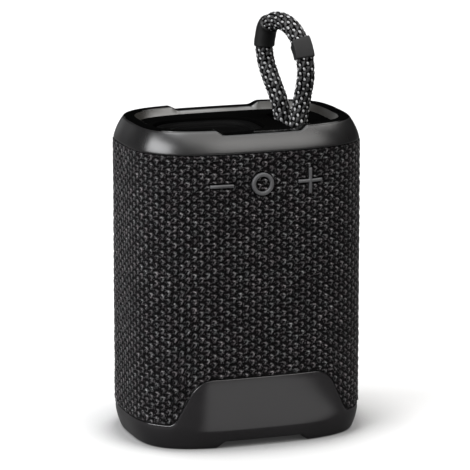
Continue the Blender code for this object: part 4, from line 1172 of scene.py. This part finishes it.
def make_flap():
    """The rubber flap with soft corners, a finger lip, and the plug that fills the port."""
    low, high = limits("port_cover")
    size = (high.x - low.x, FLAP_THICK, high.z - low.z)
    bm = box_bmesh(size, (0.0, HALF_Y - FLAP_THICK / 2, (high.z + low.z) / 2))
    round_edges(bm, [edge for edge in bm.edges if along_y(edge, 0.5)], FLAP_CORNER, 5)
    round_edges(bm, [edge for edge in bm.edges if not along_y(edge, 0.01)], FLAP_EDGE, 3)
    lip = box_bmesh(FLAP_LIP, (0.0, HALF_Y + LIP_PROUD - FLAP_LIP[1] / 2, high.z - LIP_DROP))
    round_edges(lip, lip.edges[:], 0.3, 3)
    plug = box_bmesh(PORT_PLUG, (0.0, HALF_Y - PORT_PLUG[1] / 2, PORT_Z))
    round_edges(plug, plug.edges[:], 0.4, 3)
    for extra in (lip, plug):
        mesh = bpy.data.meshes.new("flap_extra")
        extra.to_mesh(mesh)
        extra.free()
        bm.from_mesh(mesh)
        bpy.data.meshes.remove(mesh)
    bmesh.ops.recalc_face_normals(bm, faces=bm.faces[:])
    mesh = metre_mesh("port_flap", bm)
    make_object("port_flap", mesh, MATERIALS["flap"], "port_cover_body", ["port_cover"])


# ------------------------------------------------------------------ stage, lights, camera


CAMERA_AIM = Vector((0.0005, 0.0027, 0.0671))
CAMERA_PLACE = (-19.54, 12.52, 1.2)  # azimuth, elevation, distance, fitted to the photo's outline
CAMERA_LENS = 264.8
LIGHT_AIM = Vector((0, 0, 0.06))
WHITE, WARM, COOL = (1.0, 1.0, 1.0), (1.0, 0.985, 0.965), (0.98, 0.985, 1.0)
SOFTBOXES = (  # name, azimuth, elevation, distance, width, height, watts, colour
    ("front_softbox", 25, 33, 1.6, 1.1, 0.74, 12.6, WARM),
    ("front_fill", 5, 33, 1.65, 1.3, 0.74, 2.2, WARM),
    ("upper_softbox", 30, 60, 1.6, 2.3, 0.75, 17, WARM),
    ("left_softbox", -77, 26, 1.4, 1.4, 0.62, 36, COOL),
    ("left_rear_strip", -170, 6, 1.5, 0.45, 0.35, 0.22, COOL),
    ("left_upper_softbox", -62, 66, 1.6, 0.8, 0.6, 12, COOL),
    ("right_upper_softbox", 84, 48, 1.5, 0.9, 0.5, 2.5, WARM),
    ("top_softbox", 0, 88, 1.7, 1.6, 1.2, 19, WHITE),
)
FLOOR_HALF = 6.0
# Seen by the product only: a pale card in front of it, on a floor painted dark as shade.
CARD_X, CARD_Y = (-0.027, 0.061), (-0.038, -0.17)
CARD_AND_PAINTED_FLOOR_SHADE = ((0.0, 0.07), (1.0, 0.45))
SOFT_EDGES = ((0.0, 0.0), (0.08, 1.0), (0.92, 1.0), (1.0, 0.0))
# Painted contact shadow, seen by the camera: the floor's shade by how open it is, 0 to 1: under the foot's
# notch, along the foot, and in the open.
PAINTED_SHADOW_REACH = 0.028
FLOOR_PALE = 0.5
PAINTED_CONTACT_SHADOW = (
    (0.1, 0.12), (0.35, 0.3), (0.5, 0.38), (0.56, 0.46), (0.62, 0.58), (0.68, 0.7), (0.76, 0.8), (1.0, 0.96)
)  # fmt: skip
# Painted light: the floor glows where it is most closed in, under the foot's notch.
PAINTED_NOTCH_GLOW = ((0.0, 0.02), (0.15, 0.06), (0.35, 0.13), (0.44, 0.12), (0.54, 0.0))


def on_sphere(azimuth, elevation, distance):
    """A point seen from the speaker: azimuth 0 is its front, positive to its right."""
    a, e = math.radians(azimuth), math.radians(elevation)
    return Vector((math.sin(a) * math.cos(e), -math.cos(a) * math.cos(e), math.sin(e))) * distance


def add_camera():
    camera = bpy.data.cameras.new("camera")
    camera.sensor_width = 36.0
    camera.lens = CAMERA_LENS
    camera.clip_start = 0.05
    camera.clip_end = 50.0
    obj = bpy.data.objects.new("camera", camera)
    bpy.context.scene.collection.objects.link(obj)
    obj.location = CAMERA_AIM + on_sphere(*CAMERA_PLACE)
    obj.rotation_euler = (CAMERA_AIM - obj.location).to_track_quat("-Z", "Y").to_euler()
    bpy.context.scene.camera = obj


def add_softbox(name, azimuth, elevation, distance, width, height, power, color):
    light = bpy.data.lights.new(name, "AREA")
    light.shape = "RECTANGLE"
    light.size, light.size_y = width, height
    light.energy = power
    light.color = color
    obj = bpy.data.objects.new(name, light)
    bpy.context.scene.collection.objects.link(obj)
    obj.location = LIGHT_AIM + on_sphere(azimuth, elevation, distance)
    obj.rotation_euler = (LIGHT_AIM - obj.location).to_track_quat("-Z", "Y").to_euler()
    obj.visible_camera = False
    return obj


def add_lights(floor_only):
    """Softboxes for the product, and two lights that face straight down and only light the floor."""
    for softbox in SOFTBOXES:
        add_softbox(*softbox)
    for name, power, casts in (("backdrop_softbox", 60, True), ("backdrop_fill", 15, False)):
        backdrop = add_softbox(name, 180, 40, 2.0, 3.0, 1.8, power, WHITE)
        backdrop.data.use_shadow = casts
        backdrop.rotation_euler = (0, 0, 0)
        backdrop.light_linking.receiver_collection = floor_only


def add_floor():
    """A pale floor with a painted contact shadow round the foot and a painted glow under its notch, both
    seen by the camera only. The product sees the floor dark, as painted shade, but for a pale card lying in
    front of it.
    """
    half = FLOOR_HALF
    corners = [(-half, -half, 0), (half, -half, 0), (half, half, 0), (-half, half, 0)]
    mesh = bpy.data.meshes.new("floor")
    mesh.from_pydata(corners, [], [(0, 1, 2, 3)])
    floor = bpy.data.objects.new("floor", mesh)
    bpy.context.scene.collection.objects.link(floor)
    m = Nodes("pale_floor_painted_light_and_shade", roughness=0.7, Specular_IOR_Level=0.1, Emission_Strength=1.0)
    coordinates = m.node("ShaderNodeTexCoord").outputs["Object"]
    axes = m.node("ShaderNodeSeparateXYZ", {"Vector": coordinates})
    # The floor as the product sees it: dark, painted shade, but for the pale card in front.
    along = m.ramp(m.spread(axes.outputs["X"], *CARD_X), SOFT_EDGES)
    ahead = m.ramp(m.spread(axes.outputs["Y"], *CARD_Y), SOFT_EDGES)
    card = m.ramp(m.multiply(along, ahead), CARD_AND_PAINTED_FLOOR_SHADE)
    seen = m.ramp(m.node("ShaderNodeLightPath").outputs["Is Camera Ray"], [(0.0, 0.0), (1.0, 1.0)])
    near = m.node("ShaderNodeAmbientOcclusion", Distance=PAINTED_SHADOW_REACH, samples=16).outputs["AO"]
    # Painted contact shadow: the pale floor darkens where the foot closes it in.
    floor_with_painted_shadow = m.ramp(near, [(place, FLOOR_PALE * share) for place, share in PAINTED_CONTACT_SHADOW])
    m.link(m.blend(seen, card, floor_with_painted_shadow), "Base Color")
    # Painted glow under the foot's notch, seen by the camera only.
    m.link(m.multiply(seen, m.ramp(near, PAINTED_NOTCH_GLOW)), "Emission Color")
    mesh.materials.append(m.material)
    floor.location.z = -0.0002
    floor_only = bpy.data.collections.new("floor_only")
    floor_only.objects.link(floor)
    return floor_only


def add_world():
    """White behind the product, and almost no light from it."""
    world = bpy.data.worlds.new("studio")
    bpy.context.scene.world = world
    world.use_nodes = True
    nodes, links = world.node_tree.nodes, world.node_tree.links
    surround = nodes["Background"]
    surround.inputs["Color"].default_value = (0.004, 0.004, 0.004, 1)
    backdrop = nodes.new("ShaderNodeBackground")
    backdrop.inputs["Color"].default_value = (0.95, 0.95, 0.95, 1)
    rays = nodes.new("ShaderNodeLightPath")
    mix = nodes.new("ShaderNodeMixShader")
    links.new(rays.outputs["Is Camera Ray"], mix.inputs[0])
    links.new(surround.outputs[0], mix.inputs[1])
    links.new(backdrop.outputs[0], mix.inputs[2])
    links.new(mix.outputs[0], nodes["World Output"].inputs["Surface"])


# ------------------------------------------------------------------ the whole scene

MATERIALS = make_materials()
add_camera()
finish_cad_nodes()
make_loop()
make_crown_floor(*make_crown())
make_radiator("top", 1)
make_radiator("bottom", -1)
make_base_floor(make_base())
make_sleeve()
make_symbols()
make_flap()
FLOOR_ONLY = add_floor()
add_world()
add_lights(FLOOR_ONLY)
bpy.context.scene.view_settings.view_transform = "Standard"

bpy.context.view_layer.update()
